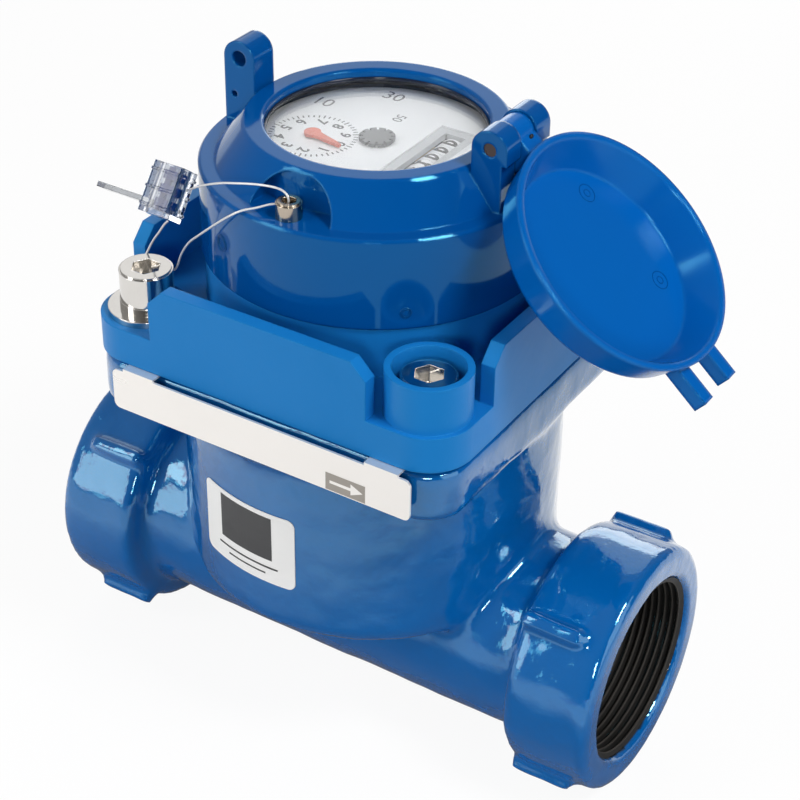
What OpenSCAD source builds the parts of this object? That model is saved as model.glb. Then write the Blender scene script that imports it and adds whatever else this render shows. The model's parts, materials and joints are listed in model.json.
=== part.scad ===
// Threaded DN 50 water meter with a dry register, an open lid and a wire seal.
// The origin is on the pipe axis where the inlet thread begins. X runs with the flow, Z is up.

/* [Body casting] */
// Length over both threaded ends
pipe_len = 200; // [190:1:240]
// Outer radius of the pipe between the bowl and the collars
pipe_r = 32; // [31:0.5:34]
// Radius of the water way
bore_r = 25; // [22:0.5:25]
// Outer radius of the end collars
collar_r = 40; // [38:0.5:42]
// Width of each end collar along the pipe
collar_w = 29; // [26:1:32]
// Major radius of the pipe thread in the collars
thread_r = 29.8; // [28:0.1:30]
// Depth of the pipe thread
thread_len = 22; // [18:1:24]
// Outer radius of the bowl
bowl_r = 59.3; // [58:0.1:60]
// Height of the bowl's underside above the pipe axis
bowl_bottom = 13; // [10:1:16]
// Height of the flange's underside above the pipe axis
flange_bottom = 76; // [70:1:80]
// Thickness of the flange
flange_t = 17.5; // [14:0.5:20]
// Half the width of the square flange
flange_half = 62; // [61:0.5:64]
// Distance of each cover screw from the middle, along X and along Y
screw_at = 48.5; // [47:0.5:50]

/* [Cover] */
// Thickness of the gasket under the cover
gasket_t = 0.8; // [0.5:0.1:1.5]
// Thickness of the cover plate
plate_t = 11.2; // [9:0.2:13]
// Height of the cover's side walls above its plate
wall_h = 17.5; // [12:0.5:20]
// Thickness of the cover's side walls
wall_t = 4.5; // [3:0.5:6]
// Half the length of each side wall
wall_half = 37; // [30:1:38]
// Outer radius of the screw cups
cup_r = 12.5; // [11.5:0.5:13]
// Height of the screw cups above the plate
cup_h = 14.5; // [10:0.5:16]
// Outer radius of the neck that carries the register
neck_r = 50.7; // [49:0.1:51]
// Height of the neck above the plate
neck_h = 15.5; // [14:0.5:18]

/* [Register] */
// Outer radius of the register ring
ring_r = 51.7; // [51:0.1:53]
// Height of the register ring, up to its ledge
ring_h = 28.4; // [26:0.2:30]
// Height of the sloped bezel above the ledge
bezel_h = 11.7; // [10:0.1:13]
// Radius of the bezel's window
window_r = 32.4; // [31:0.1:33]
// Radius of the dial
dial_r = 35.4; // [34.5:0.1:35.4]
// Depth of the dial below the top of the bezel
dial_depth = 8.3; // [8:0.1:9]

/* [Lid] */
// Radius of the lid's rim
lid_r = 37.3; // [36.5:0.1:38]
// Height of the closed lid above its rim
lid_h = 12.3; // [11:0.1:13]
// Distance of the hinge pin from the register's axis
hinge_x = 43.8; // [43:0.1:45]
// Height of the hinge pin above the bezel's top
hinge_h = 6.7; // [6:0.1:7.5]
// Radius of the hinge pin
hinge_pin_r = 2; // [1.5:0.1:2.5]
// Angle that the lid stands open
lid_open = 221.4; // [0:0.2:222]

/* [Measuring insert] */
// Radius of the rotor over its blades
rotor_r = 22.6; // [20:0.2:23]
// Number of rotor blades
blades = 6; // [4:1:8]
// Length of water column that turns the rotor once
rotor_lead = 138; // [110:1:160]
// Pitch of the worm
worm_pitch = 4; // [3.8:0.1:4.2]
// Number of teeth on the worm wheel
wheel_teeth = 12; // [11:1:13]

/* [Seal] */
// Diameter of the seal wire
wire_d = 0.9; // [0.8:0.1:1]

/* [Hidden] */
$fn = 96;

// Colours
paint_blue = "#0a4fa0";
matte_blue = "#2f80c8";
gloss_blue = "#0b55a8";
nickel = "#c9c7c2";
brass = "#c2a15a";
dark_grey = "#3a3d42";
pale_grey = "#c8ccd0";

// Running play round a shaft, and room between pieces that pass or stand apart
shaft_play = 0.05;
gap = 0.3;

// Levels from the pipe axis up
flange_top = flange_bottom + flange_t;
cover_bottom = flange_top + gasket_t;
plate_top = cover_bottom + plate_t;
neck_top = plate_top + neck_h;
ring_bottom = neck_top + 0.2;
ledge = ring_bottom + ring_h;
bezel_top = ledge + bezel_h;
dial_top = bezel_top - dial_depth;
hinge_z = bezel_top + hinge_h;

// Screws
m10_r = 5;
m10_head_r = 8;
m10_head_h = 10;
m10_hex = 8;
m10_hole_r = 5.1;
seal_corner = [-screw_at, -screw_at];
plain_corners = [[screw_at, -screw_at], [screw_at, screw_at], [-screw_at, screw_at]];
washer_t = 2;
spring_t = 2.2;
seal_head = plate_top + washer_t + spring_t;
seal_hole_r = 0.8;
flange_edge = max(flange_half, bowl_r + 1);
corner_r = flange_edge - screw_at;

// The cover stands a little over the flange
cover_out = 0.5;
cover_half = flange_edge + cover_out;

// Chamfer at the mouth of each thread
mouth = 1.2;

// Bowl and insert
gasket_land = 10;
bowl_wall = 7.3;
cavity_r = min(flange_half - gasket_land, bowl_r - bowl_wall);
bowl_floor = bowl_bottom + 7;
tube_half = 43.5;
tube_r = 26.2;
insert_bore_r = 24;
insert_r = cavity_r - 0.4;
head_bottom = flange_top - 8.5;
head_top = flange_top - 0.2;

// Register cavity
can_r = 46.2;
can_wall = 1.6;
cover_ledge = cover_bottom + 4.7;
base_bottom = cover_ledge + gap;
base_top = base_bottom + 3.1;
shoulder_top = ledge - 4.4;
upper_can_r = 37.3;
ring_bore_r = upper_can_r + 0.4;
lip_bottom = bezel_top - 3.5;
lens_bottom = lip_bottom - 2.1;
lens_t = 1.5;
lens_r = 35.8;
dial_t = 1;

// Worm pair: an eccentric round section, twisted along the shaft
shaft_r = 1.5;
worm_r = 3.4;
worm_ecc = 0.9;
worm_half = 7;
wheel_pitch_r = wheel_teeth * worm_pitch / 360 * 180 / PI;
spindle_y = worm_r + wheel_pitch_r;
magnet_r = 8.5;

// Register train. Each pair meshes at its centre distance.
arbor_r = 1;
pinion_teeth = 8;
star_teeth = 16;
transfer_teeth = 36;
pointer_teeth = 40;
star_mod = 2 * spindle_y / (pinion_teeth + star_teeth);
transfer_mod = 0.8;
pointer_mod = 0.7;
pointer_at = [-17, -8];
transfer_dist = transfer_mod * (pinion_teeth + transfer_teeth) / 2;
pointer_dist = pointer_mod * (pinion_teeth + pointer_teeth) / 2;
transfer_at = crossing(pointer_at, transfer_dist, pointer_dist);
star_level = base_top + 4;
transfer_level = star_level + 8;
pointer_level = transfer_level + 7;
gear_t = 3;
plate_level = pointer_level + 9;

// Number drums
drum_x = 17;
drum_r = 5;
drum_w = 4.7;
drum_count = 6;
drum_pitch = 5.1;
drum_z = dial_top - dial_t - drum_r - 0.4;
axle_r = 1.2;

// Lid
rim_gap = 0.4;
rim_drop = hinge_h - rim_gap;
ear_half = 12;
knuckle_half = 4;
ear_r = 5.6;
ear_relief = 4;
knuckle_r = 5;
post_x = -45;
post_w = 10.8;
post_half = 4.8;
post_h = 20;
ring_screw_at = [0.5, -45];
ring_head_h = 5;
pocket_r = 13.5;
pocket_drop = 2.6;

// Seal
seal_at = [-41.6, -45, 144.6];
seal_lean = 38;
seal_size = [11, 8, 15];
seal_bore_r = 3.3;
seal_floor = 1.5;

// Route of the seal wire from the seal, through the ring screw and the drilled bolt, back to the seal
wire_route = [[-35.6, -43.7, 146.2], [-33.6, -44.2, 147.6], [-28.6, -45.2, 150.6], [-22, -46, 153.6],
    [-16, -46.2, 155.4], [-10, -46, 156.8], [-5, -45.6, 157.4], [-2, -45.2, 157.2], [-0.2, -45, 156.2],
    [0.4, -45, 154.8], [0.2, -45, 153.2], [-0.8, -45, 152.4], [-2, -45, 152.2], [-3.6, -45, 152.2],
    [-5.4, -46, 151.9], [-8, -48.4, 151.2], [-11, -51, 150.6], [-15, -52.2, 148], [-22, -50.6, 142],
    [-28, -48.6, 136.6], [-34, -46, 131], [-39, -43.4, 124.6], [-42, -41.8, 119], [-43.6, -41.5, 116.8],
    [-45, -41.5, 116.4], [-48.5, -41.5, 116.4], [-52, -41.5, 116.4], [-53.6, -41.5, 117],
    [-53.8, -41.7, 118.6], [-52.4, -42.3, 121], [-49, -43.8, 126], [-44.8, -46, 131], [-41, -48.2, 135.6],
    [-38.2, -49.9, 138.4]];

// The crossing, left of the line from the origin to p, of circles of radius a about the origin and b about p
function crossing(p, a, b) =
    let (d = norm(p), u = p / d, s = (a * a - b * b + d * d) / (2 * d), h = sqrt(a * a - s * s))
    s * u + h * [-u.y, u.x];

// A point on a smooth curve through the four points, between the middle two
function smooth_point(a, b, c, d, t) =
    0.5 * (2 * b + (c - a) * t + (2 * a - 5 * b + 4 * c - d) * t * t + (3 * b - a - 3 * c + d) * t * t * t);

// The route with a further point halfway between each two of its points
function smooth_route(p) =
    let (last = len(p) - 1)
    concat([for (i = [0 : last - 1]) each [p[i],
        smooth_point(p[max(i - 1, 0)], p[i], p[i + 1], p[min(i + 2, last)], 0.5)]], [p[last]]);

// Everything is drawn about the middle of the pipe and set here on the inlet thread
module at_middle() {
    translate([pipe_len / 2 - mouth, 0, 0]) children();
}

// A cylinder along X
module rod_x(x0, x1, r) {
    translate([x0, 0, 0]) rotate([0, 90, 0]) cylinder(r = r, h = x1 - x0);
}

// A cylinder along Y
module rod_y(y0, y1, r) {
    translate([0, y0, 0]) rotate([-90, 0, 0]) cylinder(r = r, h = y1 - y0);
}

// A flat rectangle about the origin with round corners
module round_rect(w, d, r) {
    square([w - 2 * r, d], center = true);
    square([w, d - 2 * r], center = true);
    for (x = [-1, 1], y = [-1, 1]) translate([x * (w / 2 - r), y * (d / 2 - r)]) circle(r);
}

// A flat ring
module ring(outer, inner, h) {
    difference() {
        cylinder(r = outer, h = h);
        translate([0, 0, -1]) cylinder(r = inner, h = h + 2);
    }
}

// A spur gear with straight flanks, thinned so that pairs run free
module spur_gear(teeth, mod, h, turn) {
    root = mod * (teeth / 2 - 1.2);
    tip = mod * (teeth / 2 + 0.8);
    root_half = mod * 0.55 / root * 180 / PI;
    tip_half = mod * 0.25 / tip * 180 / PI;
    corners = [[root, -root_half], [tip, -tip_half], [tip, tip_half], [root, root_half]];
    points = [for (i = [0 : teeth - 1], c = corners)
        let (a = turn + 360 * i / teeth + c[1]) c[0] * [cos(a), sin(a)]];
    linear_extrude(h) polygon(points);
}

// A socket head screw, standing on its seat at the origin
module socket_screw(r, length, head_r, head_h, hex) {
    difference() {
        union() {
            cylinder(r = head_r - 0.5, h = head_h);
            cylinder(r = head_r, h = head_h - 0.5);
            translate([0, 0, -length]) cylinder(r = r, h = length + 1);
        }
        translate([0, 0, head_h * 0.45]) cylinder(r = hex / sqrt(3), h = head_h, $fn = 6);
    }
}

// One threaded collar at the end on side s, with its four wrench lugs
module collar(s) {
    edge = 2.5;
    lug_h = 3.6;
    lug_w = 5;
    lug_len = 21;
    mirror([s < 0 ? 1 : 0, 0, 0]) translate([pipe_len / 2 - collar_w, 0, 0]) {
        rod_x(0, collar_w, collar_r - edge);
        rod_x(edge, collar_w - edge, collar_r);
        for (x = [edge, collar_w - edge]) translate([x, 0, 0]) rotate([0, 90, 0])
            rotate_extrude() translate([collar_r - edge, 0]) circle(edge);
        for (k = [0 : 3]) rotate([45 + 90 * k, 0, 0])
            translate([0, -lug_w / 2, 0]) cube([lug_len, lug_w, collar_r + lug_h]);
    }
}

// The one-piece casting: pipe, collars, bowl and flange
module body_casting() {
    edge = 5;
    slot_half = tube_half + 0.5;
    slot_r = tube_r + gap;
    color(paint_blue) at_middle() difference() {
        union() {
            rod_x(-pipe_len / 2 + 2, pipe_len / 2 - 2, pipe_r);
            collar(-1);
            collar(1);
            translate([0, 0, bowl_bottom + edge]) cylinder(r = bowl_r, h = flange_bottom - bowl_bottom);
            translate([0, 0, bowl_bottom]) cylinder(r = bowl_r - edge, h = 2 * edge);
            translate([0, 0, bowl_bottom + edge]) rotate_extrude() translate([bowl_r - edge, 0]) circle(edge);
            translate([0, 0, flange_bottom]) linear_extrude(flange_t)
                round_rect(2 * flange_edge, 2 * flange_edge, corner_r);
        }
        rod_x(-pipe_len, pipe_len, bore_r);
        rod_x(-slot_half, slot_half, slot_r);
        translate([-slot_half, -slot_r, 0]) cube([2 * slot_half, 2 * slot_r, bowl_floor + 1]);
        translate([0, 0, bowl_floor]) cylinder(r = cavity_r, h = flange_top);
        for (s = [0, 1]) mirror([s, 0, 0]) {
            rod_x(pipe_len / 2 - thread_len, pipe_len, thread_r);
            translate([pipe_len / 2 - mouth, 0, 0]) rotate([0, 90, 0])
                cylinder(r1 = thread_r, r2 = thread_r + 2 * mouth, h = 2 * mouth);
        }
        for (x = [-1, 1], y = [-1, 1]) translate([x * screw_at, y * screw_at, flange_bottom - 1])
            cylinder(r = m10_hole_r, h = flange_t + 2);
    }
}

// The flat gasket between the flange and the cover
module cover_gasket() {
    color("#202226") at_middle() translate([0, 0, flange_top]) linear_extrude(gasket_t) difference() {
        round_rect(2 * flange_edge - 3, 2 * flange_edge - 3, corner_r - 1);
        circle(cavity_r + 0.5);
        for (x = [-1, 1], y = [-1, 1]) translate([x * screw_at, y * screw_at]) circle(m10_hole_r + 0.5);
    }
}

// One side wall of the cover, along X, with sloped ends
module side_wall() {
    slope = 5;
    foot = 1;
    translate([0, wall_t - cover_half, plate_top - foot]) rotate([90, 0, 0]) linear_extrude(wall_t)
        polygon([[-wall_half, 0], [wall_half, 0], [wall_half, wall_h + foot - slope],
            [wall_half - slope, wall_h + foot], [slope - wall_half, wall_h + foot],
            [-wall_half, wall_h + foot - slope]]);
}

// The moulded cover: plate, four walls, three screw cups and the neck
module top_cover() {
    cup_bore_r = 10.4;
    color(matte_blue) at_middle() difference() {
        union() {
            translate([0, 0, cover_bottom]) linear_extrude(plate_t)
                round_rect(2 * cover_half, 2 * cover_half, corner_r + cover_out);
            for (k = [0 : 3]) rotate(90 * k) side_wall();
            for (c = plain_corners) translate([c.x, c.y, cover_bottom])
                cylinder(r = cup_r, h = plate_t + cup_h);
            translate([0, 0, cover_bottom]) cylinder(r = neck_r, h = neck_top - cover_bottom);
        }
        translate([0, 0, cover_bottom - 1]) cylinder(r = can_r - 6, h = plate_t);
        translate([0, 0, cover_ledge]) cylinder(r = can_r + 0.4, h = neck_top);
        for (c = plain_corners) translate([c.x, c.y, plate_top]) cylinder(r = cup_bore_r, h = cup_h + 1);
        for (x = [-1, 1], y = [-1, 1]) translate([x * screw_at, y * screw_at, cover_bottom - 1])
            cylinder(r = m10_hole_r + 0.4, h = plate_t + 2);
    }
}

// The three plain cover screws
module cover_screws() {
    color(nickel) at_middle() for (c = plain_corners) translate([c.x, c.y, plate_top + washer_t])
        socket_screw(m10_r, plate_t + washer_t + flange_t - 2, m10_head_r, m10_head_h, m10_hex);
}

// A flat washer under each plain cover screw
module cover_washers() {
    color(nickel) at_middle() for (c = plain_corners) translate([c.x, c.y, plate_top])
        ring(10, m10_hole_r + 0.2, washer_t);
}

// The cover screw that the seal wire passes through, cross drilled behind its socket
module seal_bolt() {
    hole_back = 7;
    color(nickel) at_middle() translate([seal_corner.x, seal_corner.y, seal_head]) difference() {
        socket_screw(m10_r, seal_head - plate_top + plate_t + flange_t - 2, m10_head_r, m10_head_h, m10_hex);
        translate([0, hole_back, wire_route[25].z - seal_head]) rod_x(-m10_head_r, m10_head_r, seal_hole_r);
    }
}

// The broad washer under the sealed screw
module seal_bolt_washer() {
    color(nickel) at_middle() translate([seal_corner.x, seal_corner.y, plate_top])
        ring(11.8, m10_hole_r + 0.2, washer_t);
}

// The spring washer under the sealed screw's head, split at one place
module seal_bolt_spring_washer() {
    split = 1.2;
    color(nickel) at_middle() translate([seal_corner.x, seal_corner.y, plate_top + washer_t]) difference() {
        ring(8.2, m10_hole_r + 0.2, spring_t);
        rotate(60) translate([0, -split / 2, -1]) cube([12, split, spring_t + 2]);
    }
}

// The steel plate in front of the flange, hung by two folded tabs
module nameplate() {
    plate = [2 * flange_edge - 21, flange_t - 4.1];
    thick = 0.7;
    face = -flange_edge - 3.4;
    low = flange_top - plate.y - 0.2;
    tab_w = 11;
    tab_in = 4;
    color(nickel) at_middle() {
        translate([2, face + thick, low + plate.y / 2]) rotate([90, 0, 0]) linear_extrude(thick)
            round_rect(plate.x, plate.y, 2);
        for (x = [-40, 44]) translate([x - tab_w / 2, face, flange_top - 1.4]) {
            cube([tab_w, thick, 2.1]);
            translate([0, 0, 1.5]) cube([tab_w, tab_in, gasket_t - 0.2]);
        }
    }
}

// The label on the front of the bowl
module label() {
    size = [36, 26];
    around = -98;
    height = 44;
    thick = 0.2;
    color("white") at_middle() intersection() {
        ring(bowl_r + thick + 0.05, bowl_r + 0.05, flange_bottom);
        translate([0, 0, height]) rotate([0, 0, around + 90]) rotate([90, 0, 0]) linear_extrude(bowl_r + 5)
            round_rect(size.x, size.y, 2.5);
    }
}

// One upright of the register ring: a slab along Y with a round top about its hole
module upright(x, y0, y1, w, top) {
    translate([x, 0, 0]) {
        translate([-w / 2, y0, ledge - 3]) cube([w, y1 - y0, top - ledge + 3]);
        translate([0, 0, top]) rod_y(y0, y1, w / 2);
    }
}

// The glossy ring that closes the register: wall, ledge, bezel, hinge ears and sealing post
module register_ring() {
    edge = 0.7;
    bore = can_r + 0.8;
    under = shoulder_top + gap;
    slope_foot = 47;
    slope_top = 38.3;
    post_hole_r = 2.4;
    post_small_r = 1;
    relief_top = hinge_z - sqrt(ear_r * ear_r - ear_relief * ear_relief);
    color(gloss_blue) at_middle() difference() {
        union() {
            rotate_extrude() polygon([[bore, ring_bottom], [ring_r - edge, ring_bottom],
                [ring_r, ring_bottom + edge], [ring_r, ledge - edge], [ring_r - edge, ledge],
                [slope_foot, ledge], [slope_top + edge, bezel_top - edge], [slope_top, bezel_top],
                [window_r + edge, bezel_top],
                [window_r, bezel_top - edge], [window_r, lip_bottom], [ring_bore_r, lip_bottom],
                [ring_bore_r, under], [bore, under]]);
            difference() {
                union() {
                    for (s = [0, 1]) mirror([0, s, 0])
                        upright(hinge_x, knuckle_half + gap, ear_half, 2 * ear_r, hinge_z);
                    upright(post_x, -post_half, post_half, post_w, ledge + post_h);
                }
                translate([0, 0, ledge - 4]) cylinder(r = ring_bore_r + 0.5, h = 40);
            }
        }
        translate([hinge_x, 0, hinge_z]) rod_y(-20, 20, hinge_pin_r + 0.02);
        translate([hinge_x + ear_relief, -ear_half - 1, ledge + gap])
            cube([10, 2 * ear_half + 2, relief_top - ledge - gap]);
        translate([post_x, 0, ledge + post_h]) rod_y(-20, 20, post_hole_r);
        translate([post_x - 2, 0, ledge + 8.4]) rod_y(-20, 20, post_small_r);
        difference() {
            intersection() {
                translate([ring_screw_at.x, 0, ledge - pocket_drop]) rod_y(-ring_r - 5, -20, pocket_r);
                translate([-30, -70, ledge]) cube([60, 60, 40]);
            }
            cylinder(r = ring_bore_r + 1.5, h = bezel_top + 1);
        }
        translate([ring_screw_at.x, ring_screw_at.y, ledge - 3.5]) cylinder(r = 2.1, h = 10);
    }
}

// The small drilled screw on the ledge
module ring_screw() {
    head_r = 3.8;
    color(nickel) at_middle() translate([ring_screw_at.x, ring_screw_at.y, ledge]) difference() {
        socket_screw(2, 3.2, head_r, ring_head_h, 4);
        translate([0, 0, wire_route[13].z - ledge]) rod_x(-head_r - 1, 0, seal_hole_r);
    }
}

// The pin through the ears and the lid's knuckle
module hinge_pin() {
    color("#4a3f3a") at_middle() translate([hinge_x, 0, hinge_z])
        rod_y(-ear_half + 0.4, ear_half - 0.4, hinge_pin_r);
}

// The lid closed, about the hinge pin: a shallow cup with a knuckle and a two-pronged fork
module closed_lid() {
    floor_h = 9.8;
    floor_r = 30;
    rim_wall = 2.4;
    fork_reach = 46.8;
    prong = [14, 4.5, 4.5];
    fork_gap = 2 * post_half + 0.8;
    arm_h = 8;
    difference() {
        union() {
            translate([-hinge_x, 0, -rim_drop]) {
                rotate_extrude() polygon([[0, lid_h], [lid_r - 6, lid_h], [lid_r - 4, lid_h - 0.8],
                    [lid_r - 2.6, lid_h - 2.6], [lid_r - 0.4, 0.6], [lid_r - 0.6, 0], [lid_r - rim_wall, 0],
                    [floor_r, floor_h], [0, floor_h]]);
                for (y = [-1, 1]) translate([-fork_reach, y * (fork_gap + prong.y) / 2 - prong.y / 2, 4])
                    cube(prong);
            }
            rod_y(-knuckle_half, knuckle_half, knuckle_r);
            translate([-9, -knuckle_half, -arm_h / 2]) cube([9, 2 * knuckle_half, arm_h]);
        }
        rod_y(-10, 10, hinge_pin_r + 0.08);
    }
}

// The lid at its open angle
module lid() {
    color(gloss_blue) at_middle() translate([hinge_x, 0, hinge_z]) rotate([0, lid_open, 0]) closed_lid();
}

// The rubber edging round the lens
module lens_gasket() {
    inner = window_r + 0.9;
    color("#101114") at_middle() difference() {
        translate([0, 0, lens_bottom - 0.6]) ring(upper_can_r, inner, lip_bottom - lens_bottom + 0.4);
        translate([0, 0, lens_bottom]) cylinder(r = lens_r, h = lens_t);
    }
}

// The lens over the dial
module lens() {
    color("#dfe8ee", 0.3) at_middle() translate([0, 0, lens_bottom + 0.02])
        cylinder(r = lens_r - 0.05, h = lens_t - 0.04);
}

// The white dial with its drum window and the holes for the hand and the star
module dial_plate() {
    slot = [7, drum_count * drum_pitch + 1];
    bevel = 3;
    color("white") at_middle() difference() {
        translate([0, 0, dial_top - dial_t]) cylinder(r = dial_r, h = dial_t);
        translate([drum_x, 0, dial_top - 2]) linear_extrude(4) square(slot, center = true);
        translate([drum_x - slot.x / 2 - bevel, -slot.y / 2 - bevel, dial_top - dial_t / 2])
            cube([slot.x + 2 * bevel, slot.y + 2 * bevel, 2]);
        translate([0, 0, dial_top - 2]) cylinder(r = arbor_r + 0.6, h = 4);
        translate([pointer_at.x, pointer_at.y, dial_top - 2]) cylinder(r = arbor_r + 0.6, h = 4);
    }
}

// The grey can round the movement, stepped in under the lens
module register_can() {
    low = base_top + 0.2;
    inner = upper_can_r - can_wall;
    seat = dial_top - dial_t - 0.2;
    top = lens_bottom - 0.8;
    color("#6c7683") at_middle() rotate_extrude() polygon([[can_r - can_wall, low], [can_r, low],
        [can_r, shoulder_top], [upper_can_r, shoulder_top], [upper_can_r, top], [inner, top], [inner, seat],
        [inner - 2, seat],
        [inner - 2, seat - 1.2], [inner, seat - 1.2], [inner, shoulder_top - can_wall],
        [can_r - can_wall, shoulder_top - can_wall]]);
}

// The floor of the movement, with a cup for the follower magnet and the lower pivots
module register_base() {
    cup = magnet_r + 0.8;
    cup_floor = flange_top + 1.4;
    pivot = base_top - 1.9;
    color(dark_grey) at_middle() difference() {
        union() {
            translate([0, 0, base_bottom]) cylinder(r = can_r, h = base_top - base_bottom);
            translate([0, spindle_y, cup_floor]) cylinder(r = cup + 1.7, h = base_top - cup_floor);
        }
        translate([0, spindle_y, cup_floor + 1.5]) cylinder(r = cup, h = 20);
        translate([0, spindle_y, cup_floor + 0.6]) cylinder(r = arbor_r + shaft_play, h = 5);
        for (p = [[0, 0], transfer_at, pointer_at]) translate([p.x, p.y, pivot])
            cylinder(r = arbor_r + shaft_play, h = 5);
    }
}

// Three pillars between the base and the upper plate
module movement_pillars() {
    color(brass) at_middle() for (a = [60, 180, 300]) rotate(a) translate([can_r - 10.2, 0, base_top])
        cylinder(r = 2, h = plate_level - base_top);
}

// The upper plate with the upper pivots
module movement_plate() {
    color(brass) at_middle() difference() {
        translate([0, 0, plate_level]) cylinder(r = can_r - 5.2, h = 2);
        for (p = [[0, 0], [0, spindle_y], transfer_at, pointer_at]) translate([p.x, p.y, plate_level - 1])
            cylinder(r = arbor_r + shaft_play, h = 4);
    }
}

// The U-shaped bracket that carries the drums
module drum_bracket() {
    inside = drum_count / 2 * drum_pitch + 0.5;
    sheet = 1.2;
    w = 9;
    low = plate_level + 2;
    color(pale_grey) at_middle() difference() {
        translate([drum_x - w / 2, -inside - sheet, low]) cube([w, 2 * (inside + sheet), drum_z + 3 - low]);
        translate([drum_x - w, -inside, low + sheet]) cube([2 * w, 2 * inside, 40]);
        translate([drum_x, 0, drum_z]) rod_y(-30, 30, axle_r + 0.02);
    }
}

// The fixed axle of the drums
module drum_axle() {
    reach = drum_count / 2 * drum_pitch + 1.9;
    color(nickel) at_middle() translate([drum_x, 0, drum_z]) rod_y(-reach, reach, axle_r);
}

// One number drum. The first has the lowest place and stands nearest the front.
module drum(place) {
    color("#eceeee") at_middle()
        translate([drum_x, (place - (drum_count + 1) / 2) * drum_pitch - drum_w / 2, drum_z])
        rotate([-90, 0, 0]) ring(drum_r, axle_r + 0.06, drum_w);
}

// The ring magnet in the register's cup
module follower_magnet() {
    color("#2a2a2c") at_middle() translate([0, spindle_y, flange_top + 3.4])
        ring(magnet_r, arbor_r + 0.01, 4);
}

// The magnet's arbor with the first pinion
module follower_arbor() {
    low = flange_top + 2.2;
    color(brass) at_middle() translate([0, spindle_y, 0]) {
        translate([0, 0, low]) cylinder(r = arbor_r, h = plate_level + 1.6 - low);
        translate([0, 0, star_level]) spur_gear(pinion_teeth, star_mod, gear_t, -90);
    }
}

// The star wheel in the middle of the dial, on its arbor with a wheel and a pinion
module star_wheel() {
    low = base_top - 1.7;
    toward = atan2(transfer_at.y, transfer_at.x);
    color(pale_grey) at_middle() {
        translate([0, 0, low]) cylinder(r = arbor_r, h = dial_top + 1.4 - low);
        translate([0, 0, star_level]) spur_gear(star_teeth, star_mod, gear_t, 90 + 180 / star_teeth);
        translate([0, 0, transfer_level]) spur_gear(pinion_teeth, transfer_mod, gear_t, toward);
        translate([0, 0, dial_top + 0.4]) linear_extrude(1) difference() {
            circle(5.3);
            for (k = [0 : 11]) rotate(30 * k) translate([4.8, 0]) square([1.6, 0.7], center = true);
        }
    }
}

// The transfer arbor between the star and the hand
module transfer_arbor() {
    low = base_top - 1.7;
    back = atan2(-transfer_at.y, -transfer_at.x);
    ahead = pointer_at - transfer_at;
    color(brass) at_middle() translate([transfer_at.x, transfer_at.y, 0]) {
        translate([0, 0, low]) cylinder(r = arbor_r, h = plate_level + 1.6 - low);
        translate([0, 0, transfer_level])
            spur_gear(transfer_teeth, transfer_mod, gear_t, back + 180 / transfer_teeth);
        translate([0, 0, pointer_level])
            spur_gear(pinion_teeth, pointer_mod, gear_t, atan2(ahead.y, ahead.x));
    }
}

// The hand's arbor and wheel
module pointer_arbor() {
    low = base_top - 1.7;
    back = transfer_at - pointer_at;
    color(brass) at_middle() translate([pointer_at.x, pointer_at.y, 0]) {
        translate([0, 0, low]) cylinder(r = arbor_r, h = dial_top + 0.5 - low);
        translate([0, 0, pointer_level])
            spur_gear(pointer_teeth, pointer_mod, gear_t, atan2(back.y, back.x) + 180 / pointer_teeth);
    }
}

// The red hand
module pointer_hand() {
    aim = -13;
    color("#d8402c") at_middle() translate([pointer_at.x, pointer_at.y, dial_top + 0.5]) rotate(aim)
        linear_extrude(0.9) {
            circle(2.5);
            polygon([[0, -1.8], [3, -1.3], [9, -0.8], [11.4, -0.5], [11.4, 0.5], [9, 0.8], [3, 1.3],
                [0, 1.8]]);
        }
}

// The insert that drops into the bowl: flow tube, floor, column and head
module measuring_insert() {
    column_r = magnet_r + 4.5;
    column_bore = magnet_r + 1.5;
    floor_t = 4;
    floor_z = bowl_floor + gap;
    groove = [2.6, 2.2];
    color("#4a4e55") at_middle() difference() {
        union() {
            rod_x(-tube_half, tube_half, tube_r);
            translate([-tube_half, -tube_r, 0]) cube([2 * tube_half, 2 * tube_r, floor_z + 1]);
            translate([0, 0, floor_z]) cylinder(r = insert_r, h = floor_t);
            translate([0, spindle_y, floor_z]) cylinder(r = column_r, h = head_bottom - floor_z + 1);
            translate([0, 0, head_bottom]) cylinder(r = insert_r, h = head_top - head_bottom);
        }
        rod_x(-tube_half - 1, tube_half + 1, insert_bore_r);
        translate([0, spindle_y, floor_z + floor_t]) cylinder(r = column_bore, h = head_bottom - floor_z);
        translate([0, spindle_y, 0]) cylinder(r = shaft_r + shaft_play, h = 40);
        translate([0, 0, head_bottom + 3]) ring(insert_r + 1, insert_r - groove.y, groove.x);
    }
}

// The sealing ring round the insert's head
module insert_o_ring() {
    thick_r = 1.2;
    color("#17181a") at_middle() translate([0, 0, head_bottom + 4.3]) rotate_extrude()
        translate([cavity_r - thick_r - 0.05, 0]) circle(thick_r);
}

// A ring with vanes and a bearing hub, along X from x0
module vaned_hub(x0, width, vanes) {
    difference() {
        union() {
            difference() {
                rod_x(x0, x0 + width, insert_bore_r - 0.2);
                rod_x(x0 - 1, x0 + width + 1, insert_bore_r - 1.6);
            }
            rod_x(x0, x0 + width, 4);
            for (k = [0 : vanes - 1]) rotate([360 * k / vanes, 0, 0])
                translate([x0, 3, -0.6]) cube([width, insert_bore_r - 4, 1.2]);
        }
        rod_x(x0 - 1, x0 + width + 1, shaft_r + shaft_play);
    }
}

// The straightener in front of the rotor, with the front bearing
module inlet_straightener() {
    color("#8d9299") at_middle() vaned_hub(-tube_half + 0.5, 4, 8);
}

// The bearing spider behind the worm
module outlet_bearing() {
    color("#8d9299") at_middle() vaned_hub(worm_half + 4, 4, 3);
}

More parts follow.
